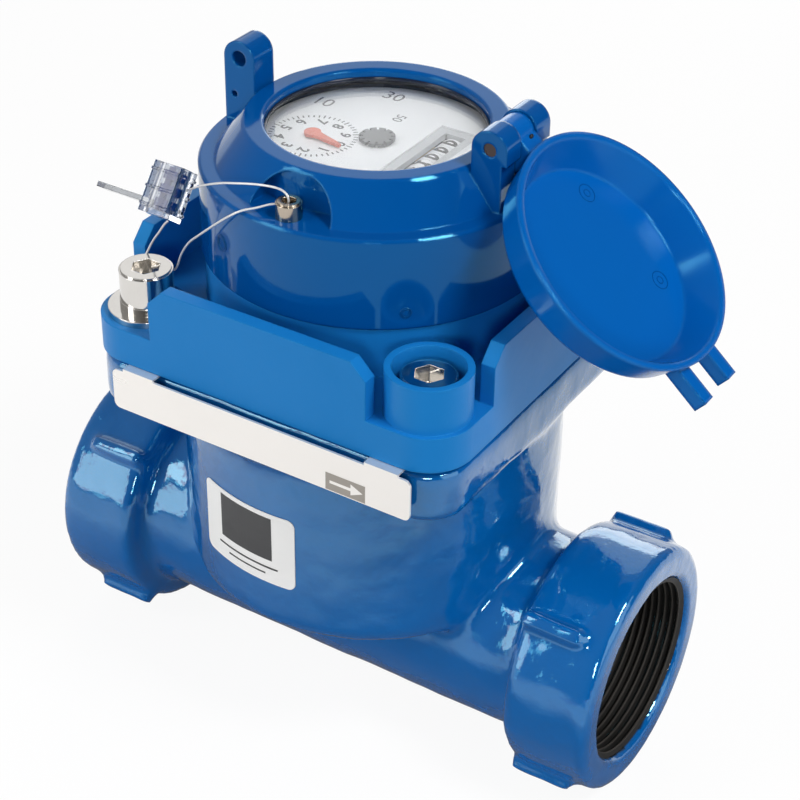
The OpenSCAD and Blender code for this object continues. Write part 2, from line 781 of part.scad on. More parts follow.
// The rotor: a hub with twisted blades
module rotor() {
    front = -tube_half + 5.5;
    long = -front - worm_half - 3;
    hub_r = 8;
    color("#d9dde0") at_middle() difference() {
        translate([front, 0, 0]) rotate([0, 90, 0]) {
            linear_extrude(long, twist = 360 * long / rotor_lead, slices = 16, $fn = 36) {
                circle(hub_r);
                for (k = [0 : blades - 1]) rotate(360 * k / blades) translate([0, -0.7])
                    square([rotor_r, 1.4]);
            }
        }
        rod_x(front - 1, front + long + 1, shaft_r + 0.01);
    }
}

// The shaft that turns with the rotor
module rotor_shaft() {
    color(nickel) at_middle() rod_x(-tube_half + 0.8, worm_half + 7.5, shaft_r);
}

// The one-start worm on the rotor's shaft
module worm() {
    half_turn = 360 * worm_half / worm_pitch;
    color(brass) at_middle() difference() {
        rotate([0, 90, 0])
            linear_extrude(2 * worm_half, center = true, twist = 2 * half_turn, slices = 48, $fn = 20)
            rotate(90 + half_turn) translate([worm_ecc, 0]) circle(worm_r);
        rod_x(-worm_half - 1, worm_half + 1, shaft_r + 0.01);
    }
}

// The worm wheel on the upright spindle
module drive_spindle() {
    half_t = 0.9;
    tip = wheel_pitch_r + worm_ecc - 0.45;
    root = wheel_pitch_r - worm_ecc - 0.45;
    corners = [[root, -0.85], [tip, -0.25], [tip, 0.25], [root, 0.85]];
    points = [for (i = [0 : wheel_teeth - 1], c = corners)
        let (a = -90 + 360 * (i + 0.5) / wheel_teeth + c[1] / c[0] * 180 / PI) c[0] * [cos(a), sin(a)]];
    color("#e4e6e8") at_middle() translate([0, spindle_y, 0]) {
        translate([0, 0, -half_t]) linear_extrude(2 * half_t) polygon(points);
        translate([0, 0, -3]) cylinder(r = shaft_r, h = head_bottom + 1);
    }
}

// The ring magnet on top of the spindle
module drive_magnet() {
    color("#2a2a2c") at_middle() translate([0, spindle_y, head_bottom - 9]) ring(magnet_r, shaft_r + 0.01, 6);
}

// The bush that guides the spindle high in the column
module spindle_bush() {
    color("#8d9299") at_middle() translate([0, spindle_y, head_bottom - 20])
        ring(magnet_r + 1.4, shaft_r + shaft_play, 4);
}

// The seal stands upright at the origin and leans back at its place here
module at_seal() {
    at_middle() translate(seal_at) rotate([-seal_lean, 0, 0]) children();
}

// The clear block of the twist seal, with its ribs and its flat tag
module seal_body() {
    tag = [17, 6.4, 1.5];
    rib = 0.7;
    color("#e6ecf0", 0.5) at_seal() difference() {
        union() {
            translate([0, 0, -seal_size.z / 2]) linear_extrude(seal_size.z)
                round_rect(seal_size.x, seal_size.y, 1.2);
            for (z = [-5.6, -0.4, 4.8]) translate([0, 0, z]) linear_extrude(rib)
                round_rect(seal_size.x + rib, seal_size.y + rib, 1.5);
            translate([-seal_size.x / 2 - tag.x + 1, -tag.y / 2, -seal_size.z / 2 + 2.6]) cube(tag);
        }
        translate([0, 0, -seal_size.z / 2 + seal_floor]) cylinder(r = seal_bore_r, h = seal_size.z);
    }
}

// The ribbed blue rotor of the seal
module seal_rotor() {
    disc = 2.6;
    color("#1f4f9c") at_seal() translate([0, 0, -seal_size.z / 2 + seal_floor]) {
        cylinder(r = seal_bore_r / 2, h = seal_size.z - seal_floor - 0.4);
        for (z = [1, 5.2, 9.4]) translate([0, 0, z]) cylinder(r = seal_bore_r - 0.3, h = disc);
    }
}

// The seal wire, swept along its route
module seal_wire() {
    sides = 8;
    route = smooth_route(wire_route);
    last = len(route) - 1;
    ahead = [for (i = [0 : last]) let (v = route[min(i + 1, last)] - route[max(i - 1, 0)]) v / norm(v)];
    across = [for (t = ahead) let (v = cross(t, abs(t.y) > 0.8 ? [1, 0, 0] : [0, 1, 0])) v / norm(v)];
    points = [for (i = [0 : last], k = [0 : sides - 1])
        let (a = 360 * k / sides, out = cos(a) * across[i] + sin(a) * cross(ahead[i], across[i]))
        route[i] + wire_d / 2 * out];
    walls = [for (i = [0 : last - 1], k = [0 : sides - 1])
        let (n = (k + 1) % sides) [i * sides + k, i * sides + n, (i + 1) * sides + n, (i + 1) * sides + k]];
    ends = [[for (k = [sides - 1 : -1 : 0]) k], [for (k = [0 : sides - 1]) last * sides + k]];
    color("#d0d0cc") at_middle() polyhedron(points, concat(walls, ends));
}

body_casting();
cover_gasket();
top_cover();
cover_screws();
cover_washers();
seal_bolt();
seal_bolt_washer();
seal_bolt_spring_washer();
nameplate();
label();
register_ring();
ring_screw();
hinge_pin();
lid();
lens_gasket();
lens();
dial_plate();
register_can();
register_base();
movement_pillars();
movement_plate();
drum_bracket();
drum_axle();
drum(1);  // drum_1
drum(2);  // drum_2
drum(3);  // drum_3
drum(4);  // drum_4
drum(5);  // drum_5
drum(6);  // drum_6
follower_magnet();
follower_arbor();
star_wheel();
transfer_arbor();
pointer_hand();
pointer_arbor();
measuring_insert();
insert_o_ring();
inlet_straightener();
outlet_bearing();
rotor();
rotor_shaft();
worm();
drive_spindle();
drive_magnet();
spindle_bush();
seal_body();
seal_rotor();
seal_wire();
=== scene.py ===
# %% [markdown]
# # A threaded water meter, dressed for its photograph
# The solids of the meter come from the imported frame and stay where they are. This lesson gives them
# their finishes, and adds what is too fine for the solids: the lumps of the enamel, the pipe threads,
# the print on the dial, the label and the plate, and the seal wire.

# %% Load the frame
import json
import math
import bmesh
import bpy
from mathutils import Matrix, Vector, noise


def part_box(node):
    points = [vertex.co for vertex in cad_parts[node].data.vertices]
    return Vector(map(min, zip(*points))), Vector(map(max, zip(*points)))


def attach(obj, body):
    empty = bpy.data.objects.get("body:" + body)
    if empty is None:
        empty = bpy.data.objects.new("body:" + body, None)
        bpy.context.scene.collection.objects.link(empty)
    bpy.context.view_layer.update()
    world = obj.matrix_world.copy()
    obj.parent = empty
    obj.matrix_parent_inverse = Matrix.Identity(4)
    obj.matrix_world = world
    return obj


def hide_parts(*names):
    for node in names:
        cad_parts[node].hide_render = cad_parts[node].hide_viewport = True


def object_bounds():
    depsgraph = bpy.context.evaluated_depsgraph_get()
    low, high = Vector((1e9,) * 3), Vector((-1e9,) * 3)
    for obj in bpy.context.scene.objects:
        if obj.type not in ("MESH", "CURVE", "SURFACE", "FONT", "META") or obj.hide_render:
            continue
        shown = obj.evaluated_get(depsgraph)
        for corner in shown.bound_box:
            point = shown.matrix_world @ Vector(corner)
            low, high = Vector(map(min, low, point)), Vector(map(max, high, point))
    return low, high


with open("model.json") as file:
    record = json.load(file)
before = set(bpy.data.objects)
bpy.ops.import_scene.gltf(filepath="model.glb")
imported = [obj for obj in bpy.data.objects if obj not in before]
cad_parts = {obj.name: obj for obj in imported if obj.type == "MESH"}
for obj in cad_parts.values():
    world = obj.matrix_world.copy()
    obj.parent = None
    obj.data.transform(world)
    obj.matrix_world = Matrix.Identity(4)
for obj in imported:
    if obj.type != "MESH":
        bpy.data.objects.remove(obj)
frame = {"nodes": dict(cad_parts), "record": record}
cad_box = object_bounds()
nodes = frame["nodes"]
mounts = {m["name"]: m for m in frame["record"]["mounts"]}
MID_X = mounts["outlet_thread"]["pos_m"][0] / 2


def at(x, y, z):
    """A point given in millimetres about the middle of the pipe, as a place in the frame."""
    return Vector((MID_X + x / 1000, y / 1000, z / 1000))


print("nodes:", len(nodes), "middle of the pipe at x =", round(MID_X, 4))

# %% [markdown]
# ## The camera
# The photograph looks down on the meter from the front right. The angles, the distance and the lens
# below were fitted to edges of known size, such as the collars, the flange and the register ring.
# A camera can be aimed with a constraint, but a matrix made from three directions says it all at once.

# %% Camera
AZIMUTH, ELEVATION, ROLL = (math.radians(a) for a in (31.76, 34.02, 1.01))
DISTANCE = 0.61729
LENS_PIXELS = 1988.44
PICTURE_PIXELS = 800
SENSOR_WIDTH = 36
LOOKS_AT = at(9.32, 0, 67.03)


def photo_camera():
    flat = math.cos(ELEVATION)
    back = Vector((math.sin(AZIMUTH) * flat, -math.cos(AZIMUTH) * flat, math.sin(ELEVATION)))
    right = Vector((math.cos(AZIMUTH), math.sin(AZIMUTH), 0))
    up = back.cross(right)
    c, s = math.cos(ROLL), math.sin(ROLL)
    right, up = c * right + s * up, c * up - s * right
    data = bpy.data.cameras.new("photo_camera")
    data.sensor_fit = "HORIZONTAL"
    data.sensor_width = SENSOR_WIDTH
    data.lens = SENSOR_WIDTH * LENS_PIXELS / PICTURE_PIXELS
    data.clip_start = 0.01
    camera = bpy.data.objects.new("photo_camera", data)
    camera.matrix_world = Matrix((right, up, back)).transposed().to_4x4()
    camera.matrix_world.translation = LOOKS_AT + back * DISTANCE
    bpy.context.scene.collection.objects.link(camera)
    bpy.context.scene.camera = camera
    return camera


camera = photo_camera()
camera_place = [round(v, 3) for v in camera.matrix_world.translation]
print("camera at", camera_place, "lens", round(camera.data.lens, 2))

# %% [markdown]
# ## The seal wire
# One steel wire leaves the clear seal, goes down through the little drilled screw on the ring, through
# the drilled head of the cover screw, and back into the seal. A curve with a round bevel is the plain way
# to make a wire: the points are its route, and a smooth curve is drawn through them.

# %% Seal wire
WIRE_DIAMETER = 0.00065
WIRE_ROUTE = [
    (-35.6, -43.7, 146.2), (-33.6, -44.2, 147.6), (-28.6, -45.2, 150.6), (-22, -46, 153.6), (-16, -46.2, 155.4),
    (-10, -46, 156.8), (-5, -45.6, 157.4), (-2, -45.2, 157.2), (-0.2, -45, 156.2), (0.4, -45, 154.8),
    (0.2, -45, 153.2), (-0.8, -45, 152.4), (-2, -45, 152.2), (-3.6, -45, 152.2), (-5.4, -46, 151.9),
    (-8, -48.4, 151.2), (-11, -51, 150.6), (-15, -52.2, 148), (-22, -50.6, 142), (-28, -48.6, 136.6),
    (-34, -46, 131), (-39, -43.4, 124.6), (-42, -41.8, 119), (-43.6, -41.5, 116.8), (-45, -41.5, 116.4),
    (-48.5, -41.5, 116.4), (-52, -41.5, 116.4), (-53.6, -41.5, 117), (-53.8, -41.7, 118.6),
    (-52.4, -42.3, 121), (-49, -43.8, 126), (-44.8, -46, 131), (-41, -48.2, 135.6), (-38.2, -49.9, 138.4)]
WIRE_PARTS = 6


def smooth_route(points, parts):
    """Points on a smooth curve through the given ones, some parts to each stretch."""
    out = []
    for i in range(len(points) - 1):
        a, b, c, d = (points[min(max(i + k, 0), len(points) - 1)] for k in (-1, 0, 1, 2))
        for k in range(parts):
            t = k / parts
            bend = (2 * a - 5 * b + 4 * c - d) * t**2 + (3 * b - a - 3 * c + d) * t**3
            out.append(0.5 * (2 * b + (c - a) * t + bend))
    return out + [points[-1]]


def link(obj):
    bpy.context.scene.collection.objects.link(obj)
    return obj


# %% Wire curve
wire_points = smooth_route([at(*p) for p in WIRE_ROUTE], WIRE_PARTS)
wire_curve = bpy.data.curves.new("seal_wire_strand", "CURVE")
wire_curve.dimensions = "3D"
wire_curve.bevel_depth = WIRE_DIAMETER / 2
wire_curve.bevel_resolution = 3
wire_curve.use_fill_caps = True
spline = wire_curve.splines.new("POLY")
spline.points.add(len(wire_points) - 1)
for point, place in zip(spline.points, wire_points):
    point.co = (*place, 1)
spline.use_smooth = True
wire = link(bpy.data.objects.new("seal_wire_strand", wire_curve))

# %% [markdown]
# ## Shared effects
# A shader node group is a small machine with named inputs and outputs that several finishes use. The
# first three give the lumps of thick paint, the uneven sheen that handling leaves, and the small round
# that every moulded or turned edge has. The last two are masks: near the pipe's axis, and past a place
# along it. Noise and masks read Object coordinates, so they sit in the piece and move with it.


# %% Node group helpers
def new_group(name, inputs, outputs):
    tree = bpy.data.node_groups.new(name, "ShaderNodeTree")
    for label, kind, value in inputs:
        socket = tree.interface.new_socket(label, in_out="INPUT", socket_type=kind)
        if value is not None:
            socket.default_value = value
    for label, kind in outputs:
        tree.interface.new_socket(label, in_out="OUTPUT", socket_type=kind)
    return tree, tree.nodes.new("NodeGroupInput"), tree.nodes.new("NodeGroupOutput")


def node(tree, kind, **settings):
    """A node with its settings. A setting whose name is an input's goes to that input."""
    made = tree.nodes.new(kind)
    for key, value in settings.items():
        if key in made.inputs:
            made.inputs[key].default_value = value
        else:
            setattr(made, key, value)
    return made


def math_node(tree, operation, a, b=None):
    made = tree.nodes.new("ShaderNodeMath")
    made.operation = operation
    for socket, value in zip(made.inputs, (a, b)):
        if isinstance(value, bpy.types.NodeSocket):
            tree.links.new(value, socket)
        elif value is not None:
            socket.default_value = value
    return made.outputs[0]


# %% Paint lumps
lumps, g_in, g_out = new_group(
    "paint_lumps",
    [("Lump Scale", "NodeSocketFloat", 120.0), ("Grain Scale", "NodeSocketFloat", 600.0),
     ("Grain Share", "NodeSocketFloat", 0.2)],
    [("Height", "NodeSocketFloat")])
where = lumps.nodes.new("ShaderNodeTexCoord")
big = node(lumps, "ShaderNodeTexNoise", Detail=1.5, Roughness=0.45, Distortion=0.25)
small = node(lumps, "ShaderNodeTexNoise", Detail=2.0, Roughness=0.5)
for tex, scale in ((big, "Lump Scale"), (small, "Grain Scale")):
    lumps.links.new(where.outputs["Object"], tex.inputs["Vector"])
    lumps.links.new(g_in.outputs[scale], tex.inputs["Scale"])
fine = math_node(lumps, "MULTIPLY", small.outputs["Fac"], g_in.outputs["Grain Share"])
lumps.links.new(math_node(lumps, "ADD", big.outputs["Fac"], fine), g_out.inputs["Height"])

# %% Uneven sheen
sheen, g_in, g_out = new_group(
    "uneven_sheen",
    [("Scale", "NodeSocketFloat", 40.0), ("Low", "NodeSocketFloat", 0.1), ("High", "NodeSocketFloat", 0.2)],
    [("Roughness", "NodeSocketFloat"), ("Mask", "NodeSocketFloat")])
where = sheen.nodes.new("ShaderNodeTexCoord")
smear = node(sheen, "ShaderNodeTexNoise", Detail=4.0, Roughness=0.6, Distortion=0.6)
sheen.links.new(where.outputs["Object"], smear.inputs["Vector"])
sheen.links.new(g_in.outputs["Scale"], smear.inputs["Scale"])
spread = node(sheen, "ShaderNodeMapRange", **{"From Min": 0.35, "From Max": 0.65})
sheen.links.new(smear.outputs["Fac"], spread.inputs["Value"])
sheen.links.new(g_in.outputs["Low"], spread.inputs["To Min"])
sheen.links.new(g_in.outputs["High"], spread.inputs["To Max"])
sheen.links.new(spread.outputs["Result"], g_out.inputs["Roughness"])
sheen.links.new(smear.outputs["Fac"], g_out.inputs["Mask"])

# %% Rounded edges
edges, g_in, g_out = new_group(
    "rounded_edges",
    [("Radius", "NodeSocketFloat", 0.0005)],
    [("Normal", "NodeSocketVector")])
bevel = edges.nodes.new("ShaderNodeBevel")
bevel.samples = 6
edges.links.new(g_in.outputs["Radius"], bevel.inputs["Radius"])
edges.links.new(bevel.outputs["Normal"], g_out.inputs["Normal"])

# %% Distance from the pipe's axis
pipe_way, g_in, g_out = new_group(
    "pipe_way",
    [("Outer", "NodeSocketFloat", 0.031), ("Inner", "NodeSocketFloat", 0.0304)],
    [("Mask", "NodeSocketFloat")])
where = pipe_way.nodes.new("ShaderNodeTexCoord")
split = pipe_way.nodes.new("ShaderNodeSeparateXYZ")
pipe_way.links.new(where.outputs["Object"], split.inputs[0])
squares = [math_node(pipe_way, "POWER", split.outputs[axis], 2.0) for axis in "YZ"]
across = math_node(pipe_way, "SQRT", math_node(pipe_way, "ADD", *squares))
inside = pipe_way.nodes.new("ShaderNodeMapRange")
pipe_way.links.new(across, inside.inputs["Value"])
pipe_way.links.new(g_in.outputs["Outer"], inside.inputs["From Min"])
pipe_way.links.new(g_in.outputs["Inner"], inside.inputs["From Max"])
pipe_way.links.new(inside.outputs["Result"], g_out.inputs["Mask"])

# %% Past a place along the pipe
past_x, g_in, g_out = new_group(
    "past_x",
    [("From", "NodeSocketFloat", 0.0), ("To", "NodeSocketFloat", 0.001)],
    [("Mask", "NodeSocketFloat")])
where = past_x.nodes.new("ShaderNodeTexCoord")
split = past_x.nodes.new("ShaderNodeSeparateXYZ")
past_x.links.new(where.outputs["Object"], split.inputs[0])
beyond = past_x.nodes.new("ShaderNodeMapRange")
past_x.links.new(split.outputs["X"], beyond.inputs["Value"])
past_x.links.new(g_in.outputs["From"], beyond.inputs["From Min"])
past_x.links.new(g_in.outputs["To"], beyond.inputs["From Max"])
past_x.links.new(beyond.outputs["Result"], g_out.inputs["Mask"])
print("shader groups:", [g.name for g in bpy.data.node_groups])

# %% [markdown]
# ## The finishes
# Each finish is one Principled shader. Its colour drifts a little between two near shades, its roughness
# follows the uneven sheen, and its bump follows the paint lumps, with the rounded edges under them.
# A plain colour would look like a drawing. The small unevenness is what the eye takes for material.
# Two more helpers mix a second colour into part of a finish, and put a finish on the frame's nodes.


# %% Finish maker
def link_group(tree, group, **settings):
    made = tree.nodes.new("ShaderNodeGroup")
    made.node_tree = group
    for key, value in settings.items():
        made.inputs[key.replace("_", " ")].default_value = value
    return made


def finish(name, colour, shade, rough, bump=0.0, lump=120.0, grain=600.0, share=0.2, edge=0.0,
           drift=30.0, **shader):
    """A material. Colour and shade are linear, rough is a pair, bump and edge are in metres."""
    material = bpy.data.materials.new(name + "_finish")
    material.use_nodes = True
    tree = material.node_tree
    main = tree.nodes["Principled BSDF"]
    for key, value in shader.items():
        main.inputs[key.replace("_", " ")].default_value = value
    look = link_group(tree, sheen, Scale=drift, Low=rough[0], High=rough[1])
    tree.links.new(look.outputs["Roughness"], main.inputs["Roughness"])
    mix = node(tree, "ShaderNodeMix", data_type="RGBA")
    for socket, value in ((mix.inputs[6], colour), (mix.inputs[7], shade)):
        socket.default_value = (*value, 1)
    tree.links.new(look.outputs["Mask"], mix.inputs["Factor"])
    tree.links.new(mix.outputs[2], main.inputs["Base Color"])
    normal = None
    if edge:
        normal = link_group(tree, edges, Radius=edge).outputs["Normal"]
    if bump:
        height = link_group(tree, lumps, Lump_Scale=lump, Grain_Scale=grain, Grain_Share=share)
        relief = node(tree, "ShaderNodeBump", Strength=1.0, Distance=bump)
        tree.links.new(height.outputs["Height"], relief.inputs["Height"])
        if normal:
            tree.links.new(normal, relief.inputs["Normal"])
        normal = relief.outputs["Normal"]
    if normal:
        tree.links.new(normal, main.inputs["Normal"])
    return material


# %% Second colour and dressing
def mix_in(material, mask, colour):
    """Mixes a colour into a finish where a mask is one."""
    tree = material.node_tree
    main = tree.nodes["Principled BSDF"]
    mix = node(tree, "ShaderNodeMix", data_type="RGBA")
    tree.links.new(mask.outputs["Mask"], mix.inputs["Factor"])
    tree.links.new(main.inputs["Base Color"].links[0].from_socket, mix.inputs[6])
    mix.inputs[7].default_value = (*colour, 1)
    tree.links.new(mix.outputs[2], main.inputs["Base Color"])


def dress(material, *names):
    """Puts a finish on nodes of the frame, which keep their shape and place."""
    for name in names:
        mesh = nodes[name].data
        mesh.materials.clear()
        mesh.materials.append(material)


# %% Blue plastics
BLUE_GLINT = (0.20, 0.80, 1.0, 1.0)
cover_blue = finish(
    "cover_blue", (0.008, 0.185, 0.540), (0.006, 0.170, 0.500), (0.40, 0.50),
    bump=0.00004, lump=300, grain=2500, share=0.6, edge=0.0006, Specular_Tint=BLUE_GLINT)
ring_blue = finish(
    "ring_blue", (0.0003, 0.074, 0.300), (0.0002, 0.068, 0.280), (0.05, 0.10),
    bump=0.00002, lump=40, grain=300, share=0.1, edge=0.0009, IOR=1.55, Specular_Tint=BLUE_GLINT)
lid_blue = finish(
    "lid_blue", (0.0004, 0.112, 0.440), (0.0003, 0.104, 0.415), (0.12, 0.20),
    bump=0.00002, lump=40, grain=300, share=0.1, edge=0.0017, IOR=1.5, Specular_Tint=BLUE_GLINT)
seal_blue = finish("seal_blue", (0.004, 0.040, 0.240), (0.003, 0.032, 0.200), (0.15, 0.25), edge=0.0003)
dress(cover_blue, "top_cover")
dress(ring_blue, "register_ring")
dress(lid_blue, "lid")
dress(seal_blue, "seal_rotor")

# %% Other plastics
film_white = finish(
    "film_white", (0.86, 0.86, 0.85), (0.80, 0.80, 0.79), (0.25, 0.35), bump=0.00003, lump=80, grain=900)
dial_white = finish(
    "dial_white", (0.90, 0.905, 0.915), (0.86, 0.865, 0.875), (0.35, 0.45),
    bump=0.00001, lump=200, grain=2000)
can_grey = finish("can_grey", (0.045, 0.060, 0.085), (0.035, 0.048, 0.070), (0.25, 0.35), bump=0.00002)
base_grey = finish("base_grey", (0.033, 0.036, 0.042), (0.028, 0.030, 0.036), (0.4, 0.5), bump=0.00003)
star_grey = finish("star_grey", (0.115, 0.12, 0.125), (0.085, 0.09, 0.095), (0.3, 0.4), bump=0.00002)
hand_red = finish("hand_red", (0.66, 0.100, 0.042), (0.60, 0.088, 0.037), (0.3, 0.4), bump=0.00001)
insert_grey = finish("insert_grey", (0.070, 0.078, 0.092), (0.060, 0.066, 0.080), (0.4, 0.5), bump=0.00003)
rotor_white = finish("rotor_white", (0.68, 0.71, 0.73), (0.62, 0.65, 0.67), (0.35, 0.45), bump=0.00003)
vane_grey = finish("vane_grey", (0.26, 0.28, 0.31), (0.22, 0.24, 0.27), (0.35, 0.45), bump=0.00003)
black_rubber = finish("black_rubber", (0.008, 0.009, 0.011), (0.012, 0.013, 0.015), (0.25, 0.4), bump=0.00003)
pin_brown = finish("pin_brown", (0.070, 0.042, 0.032), (0.050, 0.032, 0.026), (0.25, 0.4), bump=0.00003)

# %% Dress the other plastics
dress(film_white, "label")
dress(dial_white, "dial_plate", "drum_1", "drum_2", "drum_3", "drum_4", "drum_5", "drum_6")
dress(can_grey, "register_can")
dress(base_grey, "register_base")
dress(star_grey, "star_wheel")
dress(hand_red, "pointer_hand")
dress(insert_grey, "measuring_insert")
dress(rotor_white, "rotor", "drive_spindle")
dress(vane_grey, "inlet_straightener", "outlet_bearing", "spindle_bush")
dress(black_rubber, "cover_gasket", "lens_gasket", "insert_o_ring")
dress(pin_brown, "hinge_pin")

# %% Metals
nickel = finish(
    "nickel", (0.74, 0.72, 0.69), (0.66, 0.64, 0.61), (0.06, 0.14),
    bump=0.00001, lump=500, grain=3000, edge=0.0003, drift=120, Metallic=1.0)
screw_brown = finish(
    "screw_brown", (0.52, 0.45, 0.37), (0.44, 0.38, 0.31), (0.12, 0.24),
    bump=0.00001, lump=500, grain=3000, edge=0.0003, drift=120, Metallic=1.0)
plate_steel = finish(
    "plate_steel", (0.93, 0.90, 0.865), (0.89, 0.86, 0.825), (0.26, 0.36),
    bump=0.00002, lump=60, grain=2000, drift=25, Metallic=0.7)
brass_yellow = finish(
    "brass_yellow", (0.58, 0.36, 0.10), (0.50, 0.31, 0.08), (0.2, 0.35), bump=0.00001, Metallic=1.0)
bracket_steel = finish(
    "bracket_steel", (0.55, 0.56, 0.58), (0.48, 0.49, 0.51), (0.25, 0.4), bump=0.00001, Metallic=1.0)
magnet_black = finish(
    "magnet_black", (0.022, 0.022, 0.024), (0.030, 0.030, 0.032), (0.45, 0.6), bump=0.00004, Metallic=0.6)
wire_steel = finish(
    "wire_steel", (0.80, 0.80, 0.80), (0.70, 0.70, 0.71), (0.3, 0.45), drift=300, Metallic=0.35)

# %% Dress the metals
dress(nickel, "cover_screws", "cover_washers", "seal_bolt", "seal_bolt_washer", "seal_bolt_spring_washer")
dress(screw_brown, "ring_screw")
dress(plate_steel, "nameplate")
dress(brass_yellow, "movement_pillars", "movement_plate", "worm")
dress(brass_yellow, "follower_arbor", "transfer_arbor", "pointer_arbor")
dress(bracket_steel, "drum_bracket", "drum_axle", "rotor_shaft")
dress(magnet_black, "follower_magnet", "drive_magnet")
dress(wire_steel, "seal_wire")
wire_curve.materials.append(wire_steel)

# %% Clear pieces
TAG_FROM, TAG_TO = MID_X - 0.0470, MID_X - 0.0476
TAG_TINT = (0.20, 0.215, 0.235)
lens_clear = finish(
    "lens_clear", (0.98, 0.99, 1.0), (0.96, 0.98, 0.99), (0.0, 0.02), Transmission_Weight=1.0, IOR=1.45)
seal_clear = finish(
    "seal_clear", (0.66, 0.69, 0.74), (0.58, 0.61, 0.66), (0.02, 0.06),
    bump=0.00003, lump=250, grain=900, edge=0.0003, Transmission_Weight=1.0, IOR=1.46)
mix_in(seal_clear, link_group(seal_clear.node_tree, past_x, From=TAG_FROM, To=TAG_TO), TAG_TINT)
dress(lens_clear, "lens")
dress(seal_clear, "seal_body")
print("finishes:", len(bpy.data.materials))

# %% [markdown]
# ## The enamelled casting
# The casting is rough iron under thick enamel, so it has no sharp edge and no true flat. The CAD solid has
# both. A voxel remesh of a copy rounds every corner as paint does, a few smoothing steps soften it, and
# then each point moves a little in or out with a slow noise. The mouths were faced on a lathe, so they get
# fewer steps and stay flat, and the bore stays round.

# %% Casting finish
BORE_OUTER, BORE_INNER, BORE_DARK = 0.03015, 0.0299, (0.010, 0.009, 0.008)
casting_blue = finish(
    "casting_blue", (0.0006, 0.106, 0.370), (0.0005, 0.094, 0.335), (0.05, 0.10),
    bump=0.0004, lump=130, grain=480, share=0.30, drift=20, IOR=1.7, Specular_Tint=BLUE_GLINT,
    Coat_Weight=0.7, Coat_IOR=1.6, Coat_Roughness=0.05)
bore_mask = link_group(casting_blue.node_tree, pipe_way, Outer=BORE_OUTER, Inner=BORE_INNER)
mix_in(casting_blue, bore_mask, BORE_DARK)


# %% Mesh helpers
WELD_DISTANCE = 1e-6


def welded_copy(name, node_name):
    """A copy of a node's mesh with its split corners joined."""
    mesh = nodes[node_name].data.copy()
    mesh.name = name
    work = bmesh.new()
    work.from_mesh(mesh)
    bmesh.ops.remove_doubles(work, verts=work.verts, dist=WELD_DISTANCE)
    work.to_mesh(mesh)
    work.free()
    return link(bpy.data.objects.new(name, mesh))


def settle(obj):
    """Turns an object's modifiers into plain mesh."""
    graph = bpy.context.evaluated_depsgraph_get()
    mesh = bpy.data.meshes.new_from_object(obj.evaluated_get(graph))
    obj.modifiers.clear()
    obj.data = mesh


# %% Casting enamel
VOXEL = 0.0014
SOFT_STEPS, MOUTH_STEPS, MOUTH_LIMIT = 9, 2, 0.0940
casting = welded_copy("enamelled_casting", "body_casting")
remesh = casting.modifiers.new("remesh", "REMESH")
remesh.mode = "VOXEL"
remesh.voxel_size = VOXEL
settle(casting)
work = bmesh.new()
work.from_mesh(casting.data)
for k in range(SOFT_STEPS):
    soft = [v for v in work.verts if k < MOUTH_STEPS or abs(v.co.x - MID_X) < MOUTH_LIMIT]
    bmesh.ops.smooth_vert(
        work, verts=soft, factor=0.5, use_axis_x=True, use_axis_y=True, use_axis_z=True)
work.to_mesh(casting.data)
work.free()
casting.data.materials.clear()
casting.data.materials.append(casting_blue)
casting.data.polygons.foreach_set("use_smooth", [True] * len(casting.data.polygons))

# %% Casting lumps
LABEL_PLACE, LABEL_CALM, LABEL_FADE = at(-8.3, -58.9, 44), 0.020, 0.008
BORE_LIMIT, BORE_FROM, FLANGE_TOP = 0.0312, 0.03, 0.0925
MOUTH_CALM, MOUTH_FADE = 0.0985, 0.004
WIDE_LUMPS, SMALL_LUMPS = (70, 0.00035), (160, 0.00014)
SMALL_SHIFT = Vector((5, 1, 3))


def lump_depth(place):
    """How far the enamel stands in or out at a place, in metres."""
    x, y, z = place.x - MID_X, place.y, place.z
    in_bore = math.hypot(y, z) < BORE_LIMIT and abs(x) > BORE_FROM
    if in_bore or z > FLANGE_TOP:
        return 0.0
    spot = Vector((x, y, z))
    wide = noise.noise(spot * WIDE_LUMPS[0]) * WIDE_LUMPS[1]
    small = noise.noise(spot * SMALL_LUMPS[0] + SMALL_SHIFT) * SMALL_LUMPS[1]
    calm = min(1.0, max(0.15, (MOUTH_CALM - abs(x)) / MOUTH_FADE))
    calm *= min(1.0, max(0.1, ((place - LABEL_PLACE).length - LABEL_CALM) / LABEL_FADE))
    return (wide + small) * calm


for vert, normal in zip(casting.data.vertices, [v.normal.copy() for v in casting.data.vertices]):
    vert.co += normal * lump_depth(vert.co)
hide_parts("body_casting")
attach(casting, "meter")
print("casting:", len(casting.data.polygons), "faces")

# %% [markdown]
# ## Geometry Nodes helpers
# What repeats or follows a rule is made by Geometry Nodes: the pipe threads, the marks on the dial and
# the rings that the mould leaves. Each tree gets its sizes from named inputs. The result is turned into a
# plain mesh, because an instance or a live modifier would be lost when the model is exported.


# %% Geometry Nodes helpers
def new_tree(name, inputs):
    """A geometry tree with named inputs, and its input and output nodes."""
    tree = bpy.data.node_groups.new(name, "GeometryNodeTree")
    for label, kind, value in inputs:
        socket = tree.interface.new_socket(label, in_out="INPUT", socket_type=kind)
        if value is not None:
            socket.default_value = value
    tree.interface.new_socket("Geometry", in_out="OUTPUT", socket_type="NodeSocketGeometry")
    return tree, tree.nodes.new("NodeGroupInput"), tree.nodes.new("NodeGroupOutput")


